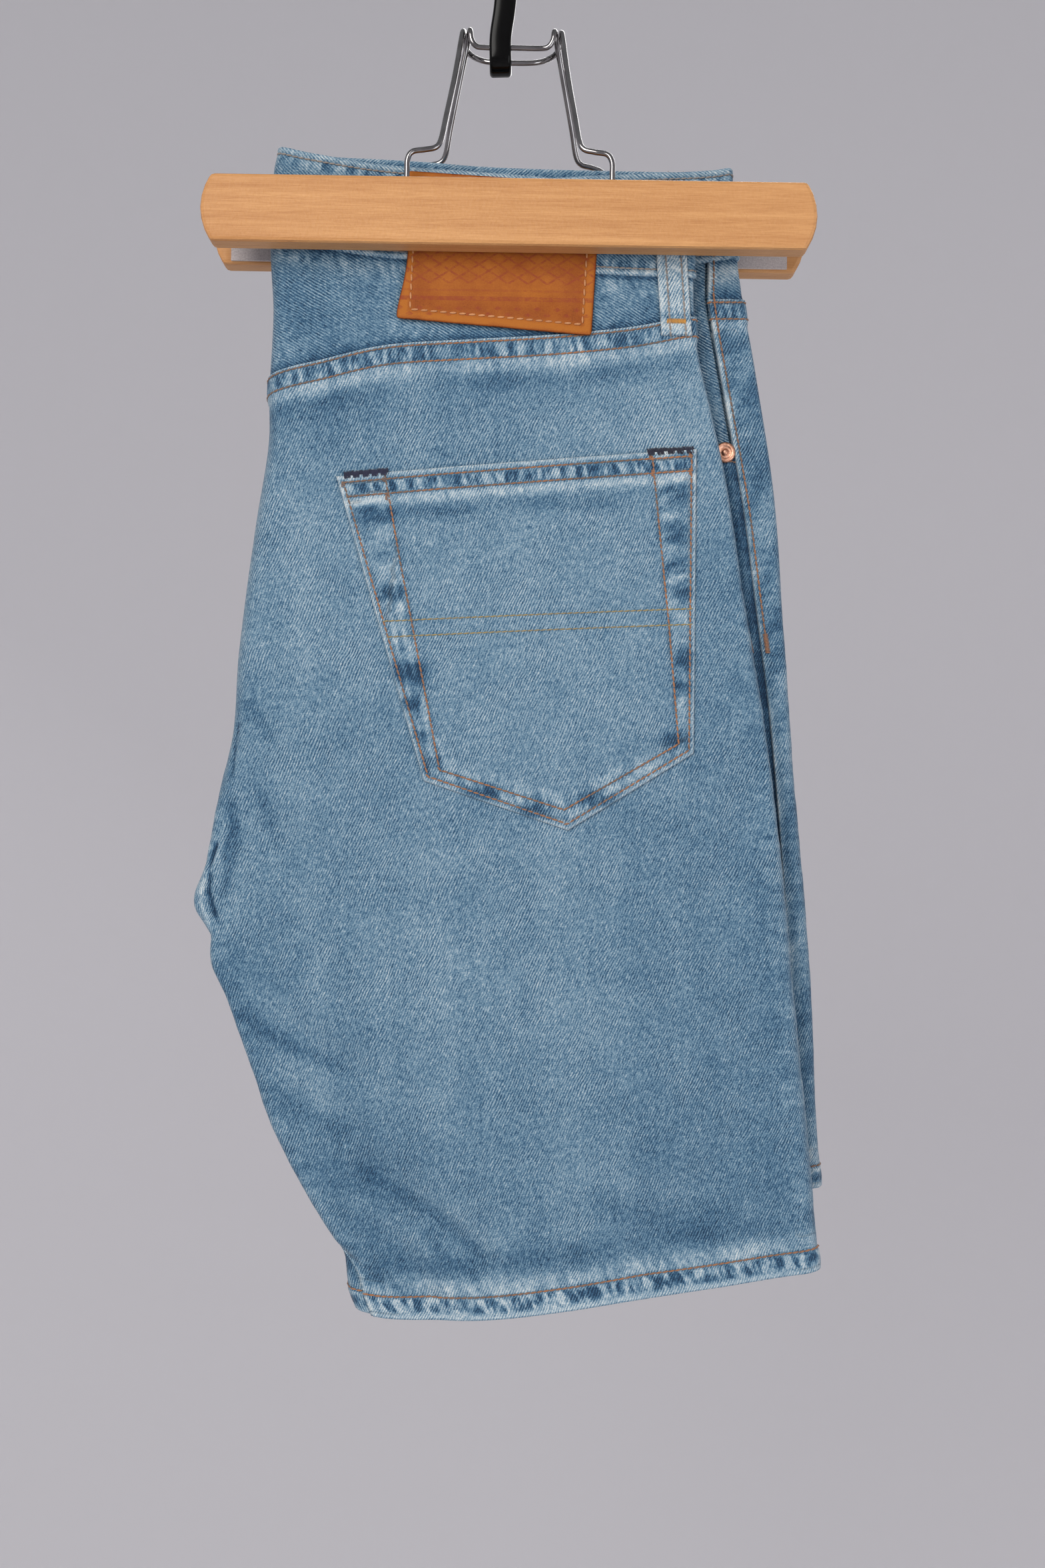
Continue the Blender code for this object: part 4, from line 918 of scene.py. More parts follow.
def yoke(half):
    column = BACK_COLUMNS[half]
    seam_z = read(YOKE[half], column)
    top = band_foot(half, back_place(half, column, BAND_LEVEL))
    z = mix(top + UNDER_BAND, seam_z - UNDER_FOLD, spaced(0.0, 1.0, 0.018)[:, None])
    s = back_place(half, np.broadcast_to(column, z.shape), z)
    flat = bare(half, s, z)
    x, across = flat[..., 0], arc_along(flat)
    away = across[:, -1:] - across
    seed = 7.7 + half
    rope = ropes(across, 5.6, 2.6 if half == NEAR else 5.4)
    above, below_band = z - seam_z, top - z
    pinch = bell(above, 0.8, 2.6)
    side, side_tone, _ = edge_relief(away, z, SIDE_ALLOWANCE, seed + 3)
    inner, inner_tone, _ = edge_relief(across, z, SIDE_ALLOWANCE, seed + 4)
    lift = (YOKE_LIFT + 0.22 * rope * pinch + (side + inner) * ease(above / 2.0)
            + 0.2 * ropes(across, 7.0, seed) * bell(below_band, 3.0, 4.0) + 0.12 * wander(x / 17.0, seed))
    # darker just above the felled seam and just below the waistband: painted shade under both edges; the
    # rest is the yoke's own tone and wear
    tone = (-0.17 + side_tone + inner_tone - 0.44 * bell(above, 0.0, 2.2) + 0.10 * bell(above, 9.0, 5.0)
            + 0.24 * bell(below_band, 5.0, 4.0) - 0.45 * bell(below_band, 0.4, 1.3)
            + 0.10 * wander(x / 11.0 + z / 25.0, seed))
    if half == FAR:
        tone = tone + 0.22 + 0.45 * bell(away, 0.8, 1.6) - 0.35 * bell(above, 2.0, 4.0)
    pucker = strongest((across, below_band, 0.55 * bell(below_band, 4.0, 4.0)),
                       (across, above, 0.25 * bell(above, 3.0, 4.0)))
    outer = cloth(half, s, z, lift)
    made = woven(f"yoke_cloth_{SIDES[half]}", half, outer, tone, PANEL_WALL, DENIM_YOKE, pucker=pucker)
    worn_part(made, "denim", f"yoke_{SIDES[half]}")
    stitched(f"yoke_stitches_{SIDES[half]}", [seam(half, outer, -away, -OUTSEAM_ROW, 1)], RUST)


yoke(NEAR)
yoke(FAR)


# --- The front leg panels ----------------------------------------------------------------------
# They meet the back panels at the outseams and each other along the fly, and are scooped out at
# the top for the hand pockets, whose mouths are turned in and stitched twice.
POCKET_MOUTH_END = {NEAR: -243.0, FAR: -232.5}
POCKET_MOUTH_WIDTH = 0.36             # of a front panel's own width
MOUTH_ROWS = (1.6, 7.6)
UNDER_BACK = np.array([-0.008, -0.004, 0.0])
FRONT_COLUMNS = joined(UNDER_BACK, np.array([0.0, 0.005, 0.01]), spaced(0.01, 0.09, 0.01),
                       spaced(0.09, 0.34, 0.014), spaced(0.34, 0.38, 0.006), spaced(0.38, 0.96, 0.02),
                       spaced(0.96, 1.0, 0.01))


def mouth(half, u):
    """Top edge of a front panel: the scoop of the hand pocket, then the waistband seam."""
    rim = band_foot(half, front_place(half, np.maximum(u, POCKET_MOUTH_WIDTH), BAND_LEVEL))
    return mix(POCKET_MOUTH_END[half], rim, 1 - quarter(1 - u / POCKET_MOUTH_WIDTH))


def front_panel(half, step):
    u = FRONT_COLUMNS
    top, foot = mouth(half, u), read(HEM[half], front_place(half, u, HEM_LEVEL))
    tucked = top + UNDER_BAND * ease((u - POCKET_MOUTH_WIDTH) / 0.01)
    z = fitted_rows(tucked, foot + HEM_ROLL, 12.0, 14.0, step)
    s = front_place(half, np.broadcast_to(u, z.shape), z)
    flat = bare(half, s, z)
    x, across = flat[..., 0], arc_along(flat)
    seed = 2.9 if half == NEAR else 6.3
    hem, hem_tone, hem_pull = hem_relief(z - foot, across, seed)
    side, side_tone, side_pull = edge_relief(across + 0.9, z, SIDE_ALLOWANCE, seed + 1)
    # the front sinks under the back panel's edge, and its tone there is darkened as painted shadow
    under = 1 - ease((across - 1.6) / 2.6)
    side, side_tone = side - 1.2 * under, side_tone - 0.35 * under
    scoop, down = 1 - ease((u - POCKET_MOUTH_WIDTH + 0.02) / 0.02), top - z
    edge = scoop * (lip(down, 0.7, 1.2) - 0.3 * bell(down, MOUTH_ROWS[0], 0.7)
                    - 0.3 * bell(down, MOUTH_ROWS[1], 0.8))
    edge_tone = scoop * 0.55 * bell(down, 0.3, 1.2)
    pucker = strongest((*hem_strokes(across, foot - z), hem_pull), (z, across, side_pull),
                       (across, down, 0.9 * scoop * bell(down, 4.6, 2.4)))
    lift = PANEL_LIFT + hem + side + edge + 0.10 * wander(x / 15.0 + z / 27.0, seed)
    # the whole front panel is 0.24 darker as painted shade of the recess between the halves
    tone = (wash_and_shade(half, x, z) - 0.24 + hem_tone + side_tone + edge_tone
            + 0.30 * ease((u - 0.94) / 0.03) * ease((INSEAM_SHOWS[0] - z) / 8.0))
    outer = cloth(half, s, z, lift)
    points, tone, pucker = turned_up(half, s, foot, lift, outer, tone, pucker)
    made = woven(f"front_panel_{SIDES[half]}", half, points, tone, PANEL_WALL, DENIM, pucker=pucker)
    worn_part(made, "denim", f"front_{SIDES[half]}")
    scooped = u < POCKET_MOUTH_WIDTH - 0.006
    stitched(f"front_stitches_{SIDES[half]}",
             [seam(half, outer[:, scooped], down[:, scooped], row, 0) for row in MOUTH_ROWS]
             + [seam(half, outer, foot - z, -HEM_DEPTH, 0)], RUST)


front_panel(NEAR, 5.0)
front_panel(FAR, 3.0)


# --- The facings -------------------------------------------------------------------------------
# A second layer of the denim behind each hand-pocket mouth, less worn than the rest since the front
# covers most of it, and the strip behind the fly.
FACING_WALL, FACING_UNDER, FACING_INSET, FACING_LIFT = 1.0, 9.0, 0.03, -0.9
FLY_PLACES, FLY_FOOT = (17.2, 15.9), -290.0


def facing(half):
    u, v = grid_of(spaced(0.0, POCKET_MOUTH_WIDTH - 0.01, 0.012), spaced(0.0, 1.0, 0.02))
    top = band_foot(half, front_place(half, u, BAND_LEVEL)) + UNDER_BAND
    z = mix(top, mouth(half, u) - FACING_UNDER, v)
    s = front_place(half, u, z) + FACING_INSET
    points = cloth(half, s, z, FACING_LIFT + 0.12 * wander(z / 7.0 + u * 9.0, 3.0))
    tone = -0.06 + 0.10 * wander(z / 12.0, 1.0 + half)
    made = woven(f"facing_cloth_{SIDES[half]}", half, points, tone, FACING_WALL, DENIM_FACING)
    worn_part(made, "dark_denim", f"facing_{SIDES[half]}")


facing(NEAR)
facing(FAR)


def fly_strip():
    u, v = grid_of(spaced(0.0, 1.0, 0.08), spaced(0.0, 1.0, 0.02))
    z = mix(band_foot(FAR, FLY_PLACES[0]) - 0.6, FLY_FOOT, v)
    points = cloth(FAR, mix(*FLY_PLACES, u), z, FACING_LIFT)
    made = woven("fly_strip", FAR, points, 0.1 * wander(z / 9.0, 2.0), FACING_WALL, DENIM)
    worn_part(made, "denim", "fly_facing")


fly_strip()


# --- The waistband -----------------------------------------------------------------------------
# One strip folded over along its top edge and stitched all round, 38 mm high. Its twill leans as
# the yokes' does. It holds the tops of all the panels.
BAND = 2.2
BAND_ROW = 3.0                        # from either edge to its row of stitches


def waistband():
    half_wall = BAND / 2
    drop = joined(np.array([0.0, 0.12, 0.4, 0.8]), spaced(0.8, 6.0, 0.65), spaced(6.0, 32.3, 2.2),
                  spaced(32.3, 37.5, 0.65), np.array([37.5, 37.9, 38.18, BAND_HEIGHT]))
    down = np.concatenate([drop, drop[-2::-1]])
    outside = np.arange(len(down)) < len(drop)
    edge_gap = np.minimum(down, BAND_HEIGHT - down)
    body = half_wall * quarter(edge_gap / half_wall) * np.where(outside, 1, -1)
    runs = []
    for half, order in ((NEAR, -1), (FAR, 1)):
        back = back_place(half, BACK_COLUMNS[half][::2], BAND_LEVEL)
        front = front_place(half, FRONT_COLUMNS[len(UNDER_BACK) + 1:], BAND_LEVEL)
        run = np.concatenate([back, front])[::order]
        runs.append((half, run if half == NEAR else run[1:]))
    half_of = np.concatenate([np.full(len(run), half) for half, run in runs])
    s = np.concatenate([run for _, run in runs])
    foot_line = np.concatenate([bare(half, run, np.full(len(run), BAND_LEVEL)) for half, run in runs])
    along = way_along(foot_line)
    closing = quarter(np.minimum(along, along[-1] - along) / half_wall)
    near_top, near_foot, on_top, on_foot, at_fold = (bell(down, *spread)[:, None] for spread in (
        (1.4, 1.4), (BAND_HEIGHT - 1.4, 1.4), (BAND_ROW, 0.7), (BAND_HEIGHT - BAND_ROW, 0.7), (0.0, 1.3)))
    relief = (0.30 * near_top + 0.55 * near_foot - 0.32 * (on_top + on_foot)
              + 0.16 * ropes(along, 6.4, 3.3) * near_top + 0.26 * ropes(along, 5.8, 8.1) * near_foot
              + 0.14 * wander(along / 19.0, 1.0))
    lift = (body[:, None] + np.where((outside & (edge_gap > 0))[:, None], relief, 0.0)) * closing
    tone = -0.02 + np.where(outside[:, None], 0.40 * near_top + 0.56 * near_foot - 0.2 * (on_top + on_foot),
                            -0.12 + 0.5 * at_fold)
    pull = 0.8 * bell(down, 4.6, 2.4) + 0.9 * bell(down, BAND_HEIGHT - 4.0, 3.0)
    pucker = np.stack(np.broadcast_arrays(along[None, :], down[:, None], pull[:, None]), -1)
    weave = np.stack(np.broadcast_arrays(-along[None, :], -down[:, None]), -1)
    points = np.empty((len(down), len(s), 3))
    for half in SIDES:
        columns = half_of == half
        z = read(WAIST[half], s[columns]) - down[:, None]
        points[:, columns] = cloth(half, np.broadcast_to(s[columns], z.shape), z, lift[:, columns])
    made = woven("waistband_cloth", FAR, points, tone, 0.0, DENIM_BAND, weave=weave, closed=True,
                 pucker=pucker)
    worn_part(made, "denim", "waistband")
    outer = points[:len(drop)]
    value = np.broadcast_to(drop[:, None], outer.shape[:2])
    stitched("waistband_stitches",
             [seam(FAR, outer, value, row, 0) for row in (BAND_ROW, BAND_HEIGHT - BAND_ROW)], DULL)


waistband()


# --- The back pockets --------------------------------------------------------------------------
# Five-sided patch pockets. The top hem is stitched twice; round the other edges one row runs close
# to the edge and one further in; two plain rows cross the pocket; navy bar tacks hold the corners.
POCKET_TOP = ((-69.3, -251.0), (78.5, -237.3))
POCKET_FOOT = ((-31.1, -375.5), (27.9, -394.7), (79.0, -362.4))
POCKET_SHIFT = {NEAR: (0.0, 0.0), FAR: (-2.0, 3.5)}
POCKET_WALL, POCKET_LIFT = 1.3, 2.3
POCKET_HEM_ROWS = (3.0, 9.0)
POCKET_INNER = ((-49.1, -250.0), (-42.3, -285.4), (-36.4, -313.9), (-29.1, -349.1), (-24.7, -370.8),
                (26.2, -386.3), (72.5, -358.7), (68.0, -311.1), (64.5, -280.2), (60.1, -240.6))
POCKET_OUTER = ((-66.2, -253.0), (-29.3, -373.6), (27.5, -392.0), (76.8, -361.2), (76.3, -239.0))
POCKET_MARGIN = ((POCKET_INNER[0], POCKET_INNER[4]), (POCKET_INNER[4], POCKET_INNER[5]),
                 (POCKET_INNER[5], POCKET_INNER[6]), (POCKET_INNER[6], POCKET_INNER[9]))
POCKET_ROWS = (((-49.0, -310.5), (77.6, -303.2)), ((-47.2, -316.9), (77.6, -309.6)))
POCKET_TACKS = (((-66.0, -249.2), (-48.3, -247.6)), ((58.1, -237.8), (76.9, -236.4)))
# x, z and half height of the knots that start and end the rows
POCKET_KNOTS = ((-66.5, -254.5, 1.19), (-49.5, -252.4, 0.91), (-48.3, -259.4, 1.4), (59.3, -241.5, 0.98),
                (60.3, -248.0, 1.33), (75.7, -240.3, 1.05), (75.9, -247.0, 1.33))
POCKET_RIM = np.array([0.0, 0.001, 0.003, 0.0065, 0.012])
# darker hollows between the two rows: x, z, half width, half height, amount
POCKET_HOLLOWS = ((-52, -266.5, 8.5, 3.8, -0.50), (-49.5, -279.5, 5.5, 4.0, -0.22),
                  (-45.5, -299.2, 5.5, 3.2, -0.62), (-38.0, -331.2, 7.5, 4.6, -0.60),
                  (-37.0, -344.0, 4.5, 3.0, -0.52), (-32.5, -357.0, 3.6, 2.4, -0.30),
                  (-28.0, -369.0, 5.0, 4.0, -0.40), (70, -255.2, 5, 4, -0.5),
                  (70.3, -272.9, 5, 4, -0.55), (70.5, -286.5, 5, 3, -0.5), (73.4, -297.3, 4, 3, -0.5),
                  (73.8, -324.4, 4, 5, -0.6), (74, -335.3, 4, 3, -0.5), (71, -357.1, 6, 3, -0.5),
                  (-8, -380, 9, 3, -0.5), (14, -387, 8, 3, -0.5), (40, -382, 8, 3, -0.45),
                  (-26, -265.5, 14, 2.6, -0.22), (28, -262, 20, 2.4, -0.12))


def pocket_relief(x, z):
    """Lift, tone and puckers of a pocket, in the near one's x and z."""
    top_left, top_right = POCKET_TOP
    down = -line_away(x, z, top_left, top_right)
    edges = (top_left, *POCKET_FOOT, top_right)
    around = np.minimum.reduce([line_away(x, z, *run) for run in zip(edges, edges[1:])])
    first, second = POCKET_HEM_ROWS
    in_hem = ease(down - first - 0.3) * ease(second - 0.3 - down)
    rows = bell(down, first, 0.7) + bell(down, second, 0.8)
    inner, outer = from_lines(x, z, POCKET_INNER), from_lines(x, z, POCKET_OUTER)
    within = np.minimum.reduce([line_away(x, z, *run) for run in POCKET_MARGIN])
    reach = 1.0 + 8.0 * ease((-350.0 - z) / 20.0)
    band = (ease(around - 2.6) * ease((reach - within) / (1.0 + reach))
            * (0.6 + 0.4 * bell(inner, 5.0, 5.0)))
    lift = (POCKET_LIFT + lip(np.minimum(around, down), 1.0, 1.5) + 0.4 * (1 - ease((down - second) / 1.5))
            - 0.32 * rows + 0.3 * ropes(x, 5.6, 0.7) * in_hem - 0.30 * bell(inner, 0.0, 0.8)
            - 0.32 * bell(outer, 0.0, 0.8) + 0.22 * ropes(x + 1.4 * z, 13.0, 4.4) * band
            + 0.12 * wander(x / 15.0 - z / 18.0, 2.0))
    hollows = sum(amount * np.exp(-((x - x0) / wide) ** 4 - ((z - z0) / high) ** 4)
                  for x0, z0, wide, high, amount in POCKET_HOLLOWS)
    tone = (0.56 * bell(down, 0.3, 1.6) - 0.14 * in_hem + 0.50 * bell(down, 11.6, 2.2)
            + 0.55 * bell(around, 0.2, 1.2) - 0.22 * rows - 0.24 * bell(inner, 0, 0.8)
            - 0.22 * bell(outer, 0, 0.8) + 0.24 * band + 1.3 * hollows
            + 0.08 * ease((down - 12) / 20) * ease((around - 10) / 14) - 0.08 * bell(down, 17.0, 4.0))
    side = (np.abs(x) > 40 - 0.12 * (z + 250)) & (z > -372 + 0.2 * np.abs(x))
    pucker = strongest((x, down, 1.15 * in_hem + 0.4 * bell(down, 11.6, 2.2)),
                       (0.55 * z, x, 0.62 * band * side), (x, -z, 0.62 * band * ~side))
    return lift, tone, pucker


def on_back(half, x, z, lift):
    """A row for stitched(), or a grid, on the back of a half."""
    s = place_of(half, x, z, BACK_SPAN)
    return cloth(half, s, z, lift), outward(half, s, z)


def pocket(half, step):
    shift_x, shift_z = POCKET_SHIFT[half]
    left, tip, right = POCKET_FOOT
    tip_share = (tip[0] - left[0]) / (right[0] - left[0])
    start, end = POCKET_RIM[-1], 1 - POCKET_RIM[-1]
    far_rim = 1 - POCKET_RIM[::-1]
    u, v = grid_of(joined(POCKET_RIM, spaced(start, tip_share, step / 140),
                          spaced(tip_share, end, step / 140), far_rim),
                   joined(POCKET_RIM, spaced(start, 0.12, 0.0065), spaced(0.12, end, step / 130), far_rim))
    x, z = (mix(mix(*above, u), np.interp(u, (0.0, tip_share, 1.0), below), v)
            for above, below in zip(zip(*POCKET_TOP), zip(*POCKET_FOOT)))
    lift, tone, pucker = pocket_relief(x, z)
    points, _ = on_back(half, x + shift_x, z + shift_z, lift)
    weave = np.stack([-half * x, z - 0.1 * x], -1)
    made = woven(f"pocket_cloth_{SIDES[half]}", half, points, tone, POCKET_WALL, DENIM, weave=weave,
                 pucker=pucker)
    worn_part(made, "denim", f"pocket_back_{SIDES[half]}")

    def row(corners):
        line_x, line_z = smooth_row(corners).T
        return on_back(half, line_x + shift_x, line_z + shift_z, pocket_relief(line_x, line_z)[0])

    def top_row(down):
        (x0, z0), (x1, z1) = POCKET_TOP
        return row([(mix(x0, x1, t), mix(z0, z1, t) - down) for t in (0.012 + down * 0.002, 0.99)])

    stitched(f"pocket_stitches_{SIDES[half]}", [top_row(down) for down in POCKET_HEM_ROWS]
             + [row(POCKET_OUTER), row(POCKET_INNER)], RUST)
    stitched(f"pocket_rows_{SIDES[half]}", [row(corners) for corners in POCKET_ROWS], KHAKI, width=0.7)
    tacks = []
    for (x0, z0), (x1, z1) in POCKET_TACKS:
        for t in spaced(0.0, 1.0, 0.026):
            x, z = mix(x0, x1, t), mix(z0, z1, t)
            slip = 0.5 * sin(29 * t) + 0.4 * sin(61 * t)
            tacks.append(row([(x, z + 0.4), (x + 0.5, z - 2.9 - slip)]))
    stitched(f"pocket_tacks_{SIDES[half]}", tacks, NAVY, pitch=9.0, length=4.1, width=0.62, skew=0.0,
             rise=0.3)
    knots = [row([(x, z + high), (x, z - high)]) for x, z, high in POCKET_KNOTS]
    stitched(f"pocket_knots_{SIDES[half]}", knots, RUST, pitch=0.55, length=1.5, width=0.5, skew=62.0,
             rise=0.15)


pocket(NEAR, 2.0)
pocket(FAR, 3.0)


# --- The leather patch -------------------------------------------------------------------------
# A tan leather label sewn over the waistband at the back, its lower edge curling off the yoke. A
# plain ornament, lozenges between ruled lines, is printed on it in faint worn ink.
PATCH_TOP = ((-42.7, -124.3), (37.8, -128.6))
PATCH_FOOT = ((-44.4, -185.6), (34.6, -191.6))
PATCH_WIDE, PATCH_HIGH = 80.5, 61.5
PATCH_WALL, PATCH_BORDER, PATCH_CORNER, PATCH_CURL = 1.2, 4.2, 1.8, 0.8
PATCH_SIDE_RIM = np.array([0.0, 0.002, 0.006, 0.012])
PATCH_TOP_RIM = np.array([0.0, 0.002, 0.006, 0.014])
LAID_ON = BAND / 2 + 0.3              # from the band's middle to what lies on it
STITCH_SINK, STITCH_ASIDE = 0.1, 1.2  # the depth of a stitch is read this far beside it
LOZENGE, LOZENGE_LEAN, INK_SPAN = 4.4, 33.0, (-187.0, -128.0)


def blended(tree, kind, first, second):
    node = add_node(tree, "ShaderNodeMix", data_type='RGBA', blend_type=kind)
    node.inputs["Factor"].default_value = 1.0
    tree.links.new(first, node.inputs["A"])
    tree.links.new(second, node.inputs["B"])
    return node.outputs["Result"]


def leather(name, colour, worn_colour, ink):
    """Leather with an ornament in worn ink: a lattice of lozenges between ruled lines."""
    made, shader = principled(name, colour, 0.62)
    tree = made.node_tree
    place = add_node(tree, "ShaderNodeUVMap", uv_map="weave").outputs["UV"]
    clouds = texture(tree, "ShaderNodeTexNoise", place, {"Scale": 0.10, "Detail": 6.0, "Roughness": 0.6})
    grain = texture(tree, "ShaderNodeTexNoise", place, {"Scale": 1.6, "Detail": 4.0, "Roughness": 0.7})
    tone = add_node(tree, "ShaderNodeAttribute", attribute_name="tone").outputs["Fac"]
    mixed = weighted(tree, 0.8, (clouds.outputs["Fac"], 1.0), (grain.outputs["Fac"], 0.5), (tone, 0.5))
    # the darkest stop of the hide, reached in the darkest clouds and at the patch's darkened rim
    darkest_hide = tuple(0.3 * part for part in worn_colour)
    hide = ramped(tree, mixed, ((0.0, darkest_hide), (0.3, worn_colour), (0.8, colour)))
    lines = add_node(tree, "ShaderNodeMath", operation='MAXIMUM')
    for socket, turn in zip(lines.inputs, (LOZENGE_LEAN, -LOZENGE_LEAN)):
        leaning = texture(tree, "ShaderNodeTexWave", mapped(tree, place, turn=turn),
                          {"Scale": 2 * pi / (20 * LOZENGE), "Distortion": 0.3}, bands_direction='Y')
        tree.links.new(leaning.outputs["Fac"], socket)
    split = add_node(tree, "ShaderNodeSeparateXYZ")
    tree.links.new(place, split.inputs[0])
    up = add_node(tree, "ShaderNodeMapRange")
    tree.links.new(split.outputs["Y"], up.inputs["Value"])
    for socket, value in zip(("From Min", "From Max"), INK_SPAN):
        up.inputs[socket].default_value = value
    height = up.outputs["Result"]
    black, white, grey = (0.0,) * 3, (1.0,) * 3, (0.55,) * 3
    rules = ramped(tree, height, ((0.0, black), (0.155, white), (0.185, black), (0.22, grey),
                                  (0.235, black), (0.74, white), (0.77, black)), 'CONSTANT')
    field = ramped(tree, height, ((0.0, black), (0.27, black), (0.275, white), (0.70, white),
                                  (0.705, black)), 'CONSTANT')
    edging = ramped(tree, height, ((0.0, black), (0.04, black), (0.045, white), (0.115, white),
                                   (0.12, black)), 'CONSTANT')
    crisp = ramped(tree, lines.outputs[0], ((0.86, black), (0.95, white)))
    spots = ramped(tree, lines.outputs[0], ((0.25, white), (0.45, black)))
    ornament = blended(tree, 'LIGHTEN', blended(tree, 'MULTIPLY', field, crisp),
                       blended(tree, 'MULTIPLY', edging, spots))
    ornament = blended(tree, 'LIGHTEN', ornament, rules)
    wear = texture(tree, "ShaderNodeTexNoise", place, {"Scale": 0.5, "Detail": 5.0, "Roughness": 0.7})
    left_on = ramped(tree, wear.outputs["Fac"], ((0.35, black), (0.6, (0.75,) * 3)))
    printed = add_node(tree, "ShaderNodeMix", data_type='RGBA')
    tree.links.new(multiplied(tree, ornament, left_on), printed.inputs["Factor"])
    tree.links.new(hide, printed.inputs["A"])
    printed.inputs["B"].default_value = (*ink, 1.0)
    tree.links.new(printed.outputs["Result"], shader.inputs["Base Color"])
    shader.inputs["Specular IOR Level"].default_value = 0.22
    bumped(tree, grain.outputs["Fac"], 0.2 * MM, 0.6, shader)
    return made


def rounded(u, v, reach_u, reach_v):
    """Places on a unit square with its corners drawn in to quarter circles of a reach."""
    way_u, way_v = np.sign(u - 0.5), np.sign(v - 0.5)
    a = np.clip((np.abs(u - 0.5) - 0.5 + reach_u) / reach_u, 0.0, 1.0)
    b = np.clip((np.abs(v - 0.5) - 0.5 + reach_v) / reach_v, 0.0, 1.0)
    drawn_u, drawn_v = a * np.sqrt(1 - b * b / 2), b * np.sqrt(1 - a * a / 2)
    return u - way_u * reach_u * (a - drawn_u), v - way_v * reach_v * (b - drawn_v)


def patch_place(u, v):
    """The x and z of a place on the patch."""
    return [mix(mix(*above, u), mix(*below, u), v)
            for above, below in zip(zip(*PATCH_TOP), zip(*PATCH_FOOT))]


def patch_face(x, z, v, out=0.0):
    """Points of the patch's outer face, moved out by out; its foot curls off the cloth."""
    behind, _ = on_back(NEAR, x, z, 0.0)
    off = LAID_ON + PATCH_WALL + PATCH_CURL * ease((v - 0.75) / 0.25)
    return np.stack([x, behind[..., 1] - off - out, z], -1)


def patch():
    u, v = grid_of(joined(PATCH_SIDE_RIM, spaced(PATCH_SIDE_RIM[-1], 1 - PATCH_SIDE_RIM[-1], 0.02),
                          1 - PATCH_SIDE_RIM[::-1]),
                   joined(PATCH_TOP_RIM, spaced(PATCH_TOP_RIM[-1], 1 - PATCH_TOP_RIM[-1], 0.025),
                          1 - PATCH_TOP_RIM[::-1]))
    x, z = patch_place(*rounded(u, v, PATCH_CORNER / PATCH_WIDE, PATCH_CORNER / PATCH_HIGH))
    x = x + (2.0 * bell(v, 0.55, 0.28) - 1.6 * bell(v, 1.0, 0.22)) * ease((0.10 - u) / 0.10)
    rim = np.minimum(np.minimum(u, 1 - u) * PATCH_WIDE, np.minimum(v, 1 - v) * PATCH_HIGH)
    relief = (lip(rim, 0.8, 0.8) - 0.25 * bell(rim, PATCH_BORDER, 0.8)
              + 0.25 * wander(x / 16.0 + z / 19.0, 5.0) * ease(rim / 8))
    points = patch_face(x, z, v, relief)
    # darkest at the very edge, paler on the raised border and darker again within it
    tone = -0.9 * bell(rim, 0.0, 0.6) + 0.8 * bell(rim, 2.2, 1.4) - 0.35 * bell(rim, 7.0, 4.0)
    made = woven("patch_leather", NEAR, points, tone, PATCH_WALL,
                 leather("tan_leather", (0.43, 0.135, 0.015), (0.29, 0.070, 0.009), (0.27, 0.045, 0.018)),
                 weave=np.stack([x, z], -1))
    worn_part(made, "patch_leather", "patch")
    left, top = PATCH_BORDER / PATCH_WIDE, PATCH_BORDER / PATCH_HIGH
    corners = ((left, top), (left, 1 - top), (1 - left, 1 - top), (1 - left, top), (left, top))
    rows = []
    for (u0, v0), (u1, v1) in zip(corners, corners[1:]):
        t = spaced(0.0, 1.0, 0.02)
        row_v = mix(v0, v1, t)
        x, z = patch_place(mix(u0, u1, t), row_v)
        line = patch_face(x - STITCH_ASIDE, z, row_v, -STITCH_SINK) + (STITCH_ASIDE, 0.0, 0.0)
        rows.append((line, np.tile((0.0, -1.0, 0.0), (len(t), 1))))
    stitched("patch_stitches", rows, TAN, pitch=3.9, length=3.0, width=0.95)


patch()


# --- The belt loops ----------------------------------------------------------------------------
# Strips of denim folded in three and stitched along both edges, worn pale. They run down over the
# waistband and are bar-tacked at both ends.
LOOP_WIDTH, LOOP_WALL, LOOP_RISE = 12.6, 1.2, 0.5
LOOP_DROP = {"back": 25.0, "front": 9.0}
LOOP_BACK_PLACES = (0.2, 1.15)
LOOP_ROWS, LOOP_TACKS, LOOP_TACK_SPAN = (0.30, 0.80), (0.06, 0.905), (0.20, 0.84)
LOOPS = (("side_right", NEAR, "back", 64.8, 69.7), ("side_left", FAR, "back", 70.0, 71.0),
         ("front_right", NEAR, "front", -4.0, -4.0), ("front_left", FAR, "front", 8.0, 8.0))
LOOP_RIM, LOOP_END_RIM = np.array([0.0, 0.008, 0.03, 0.07]), np.array([0.0, 0.0016, 0.006, 0.014])


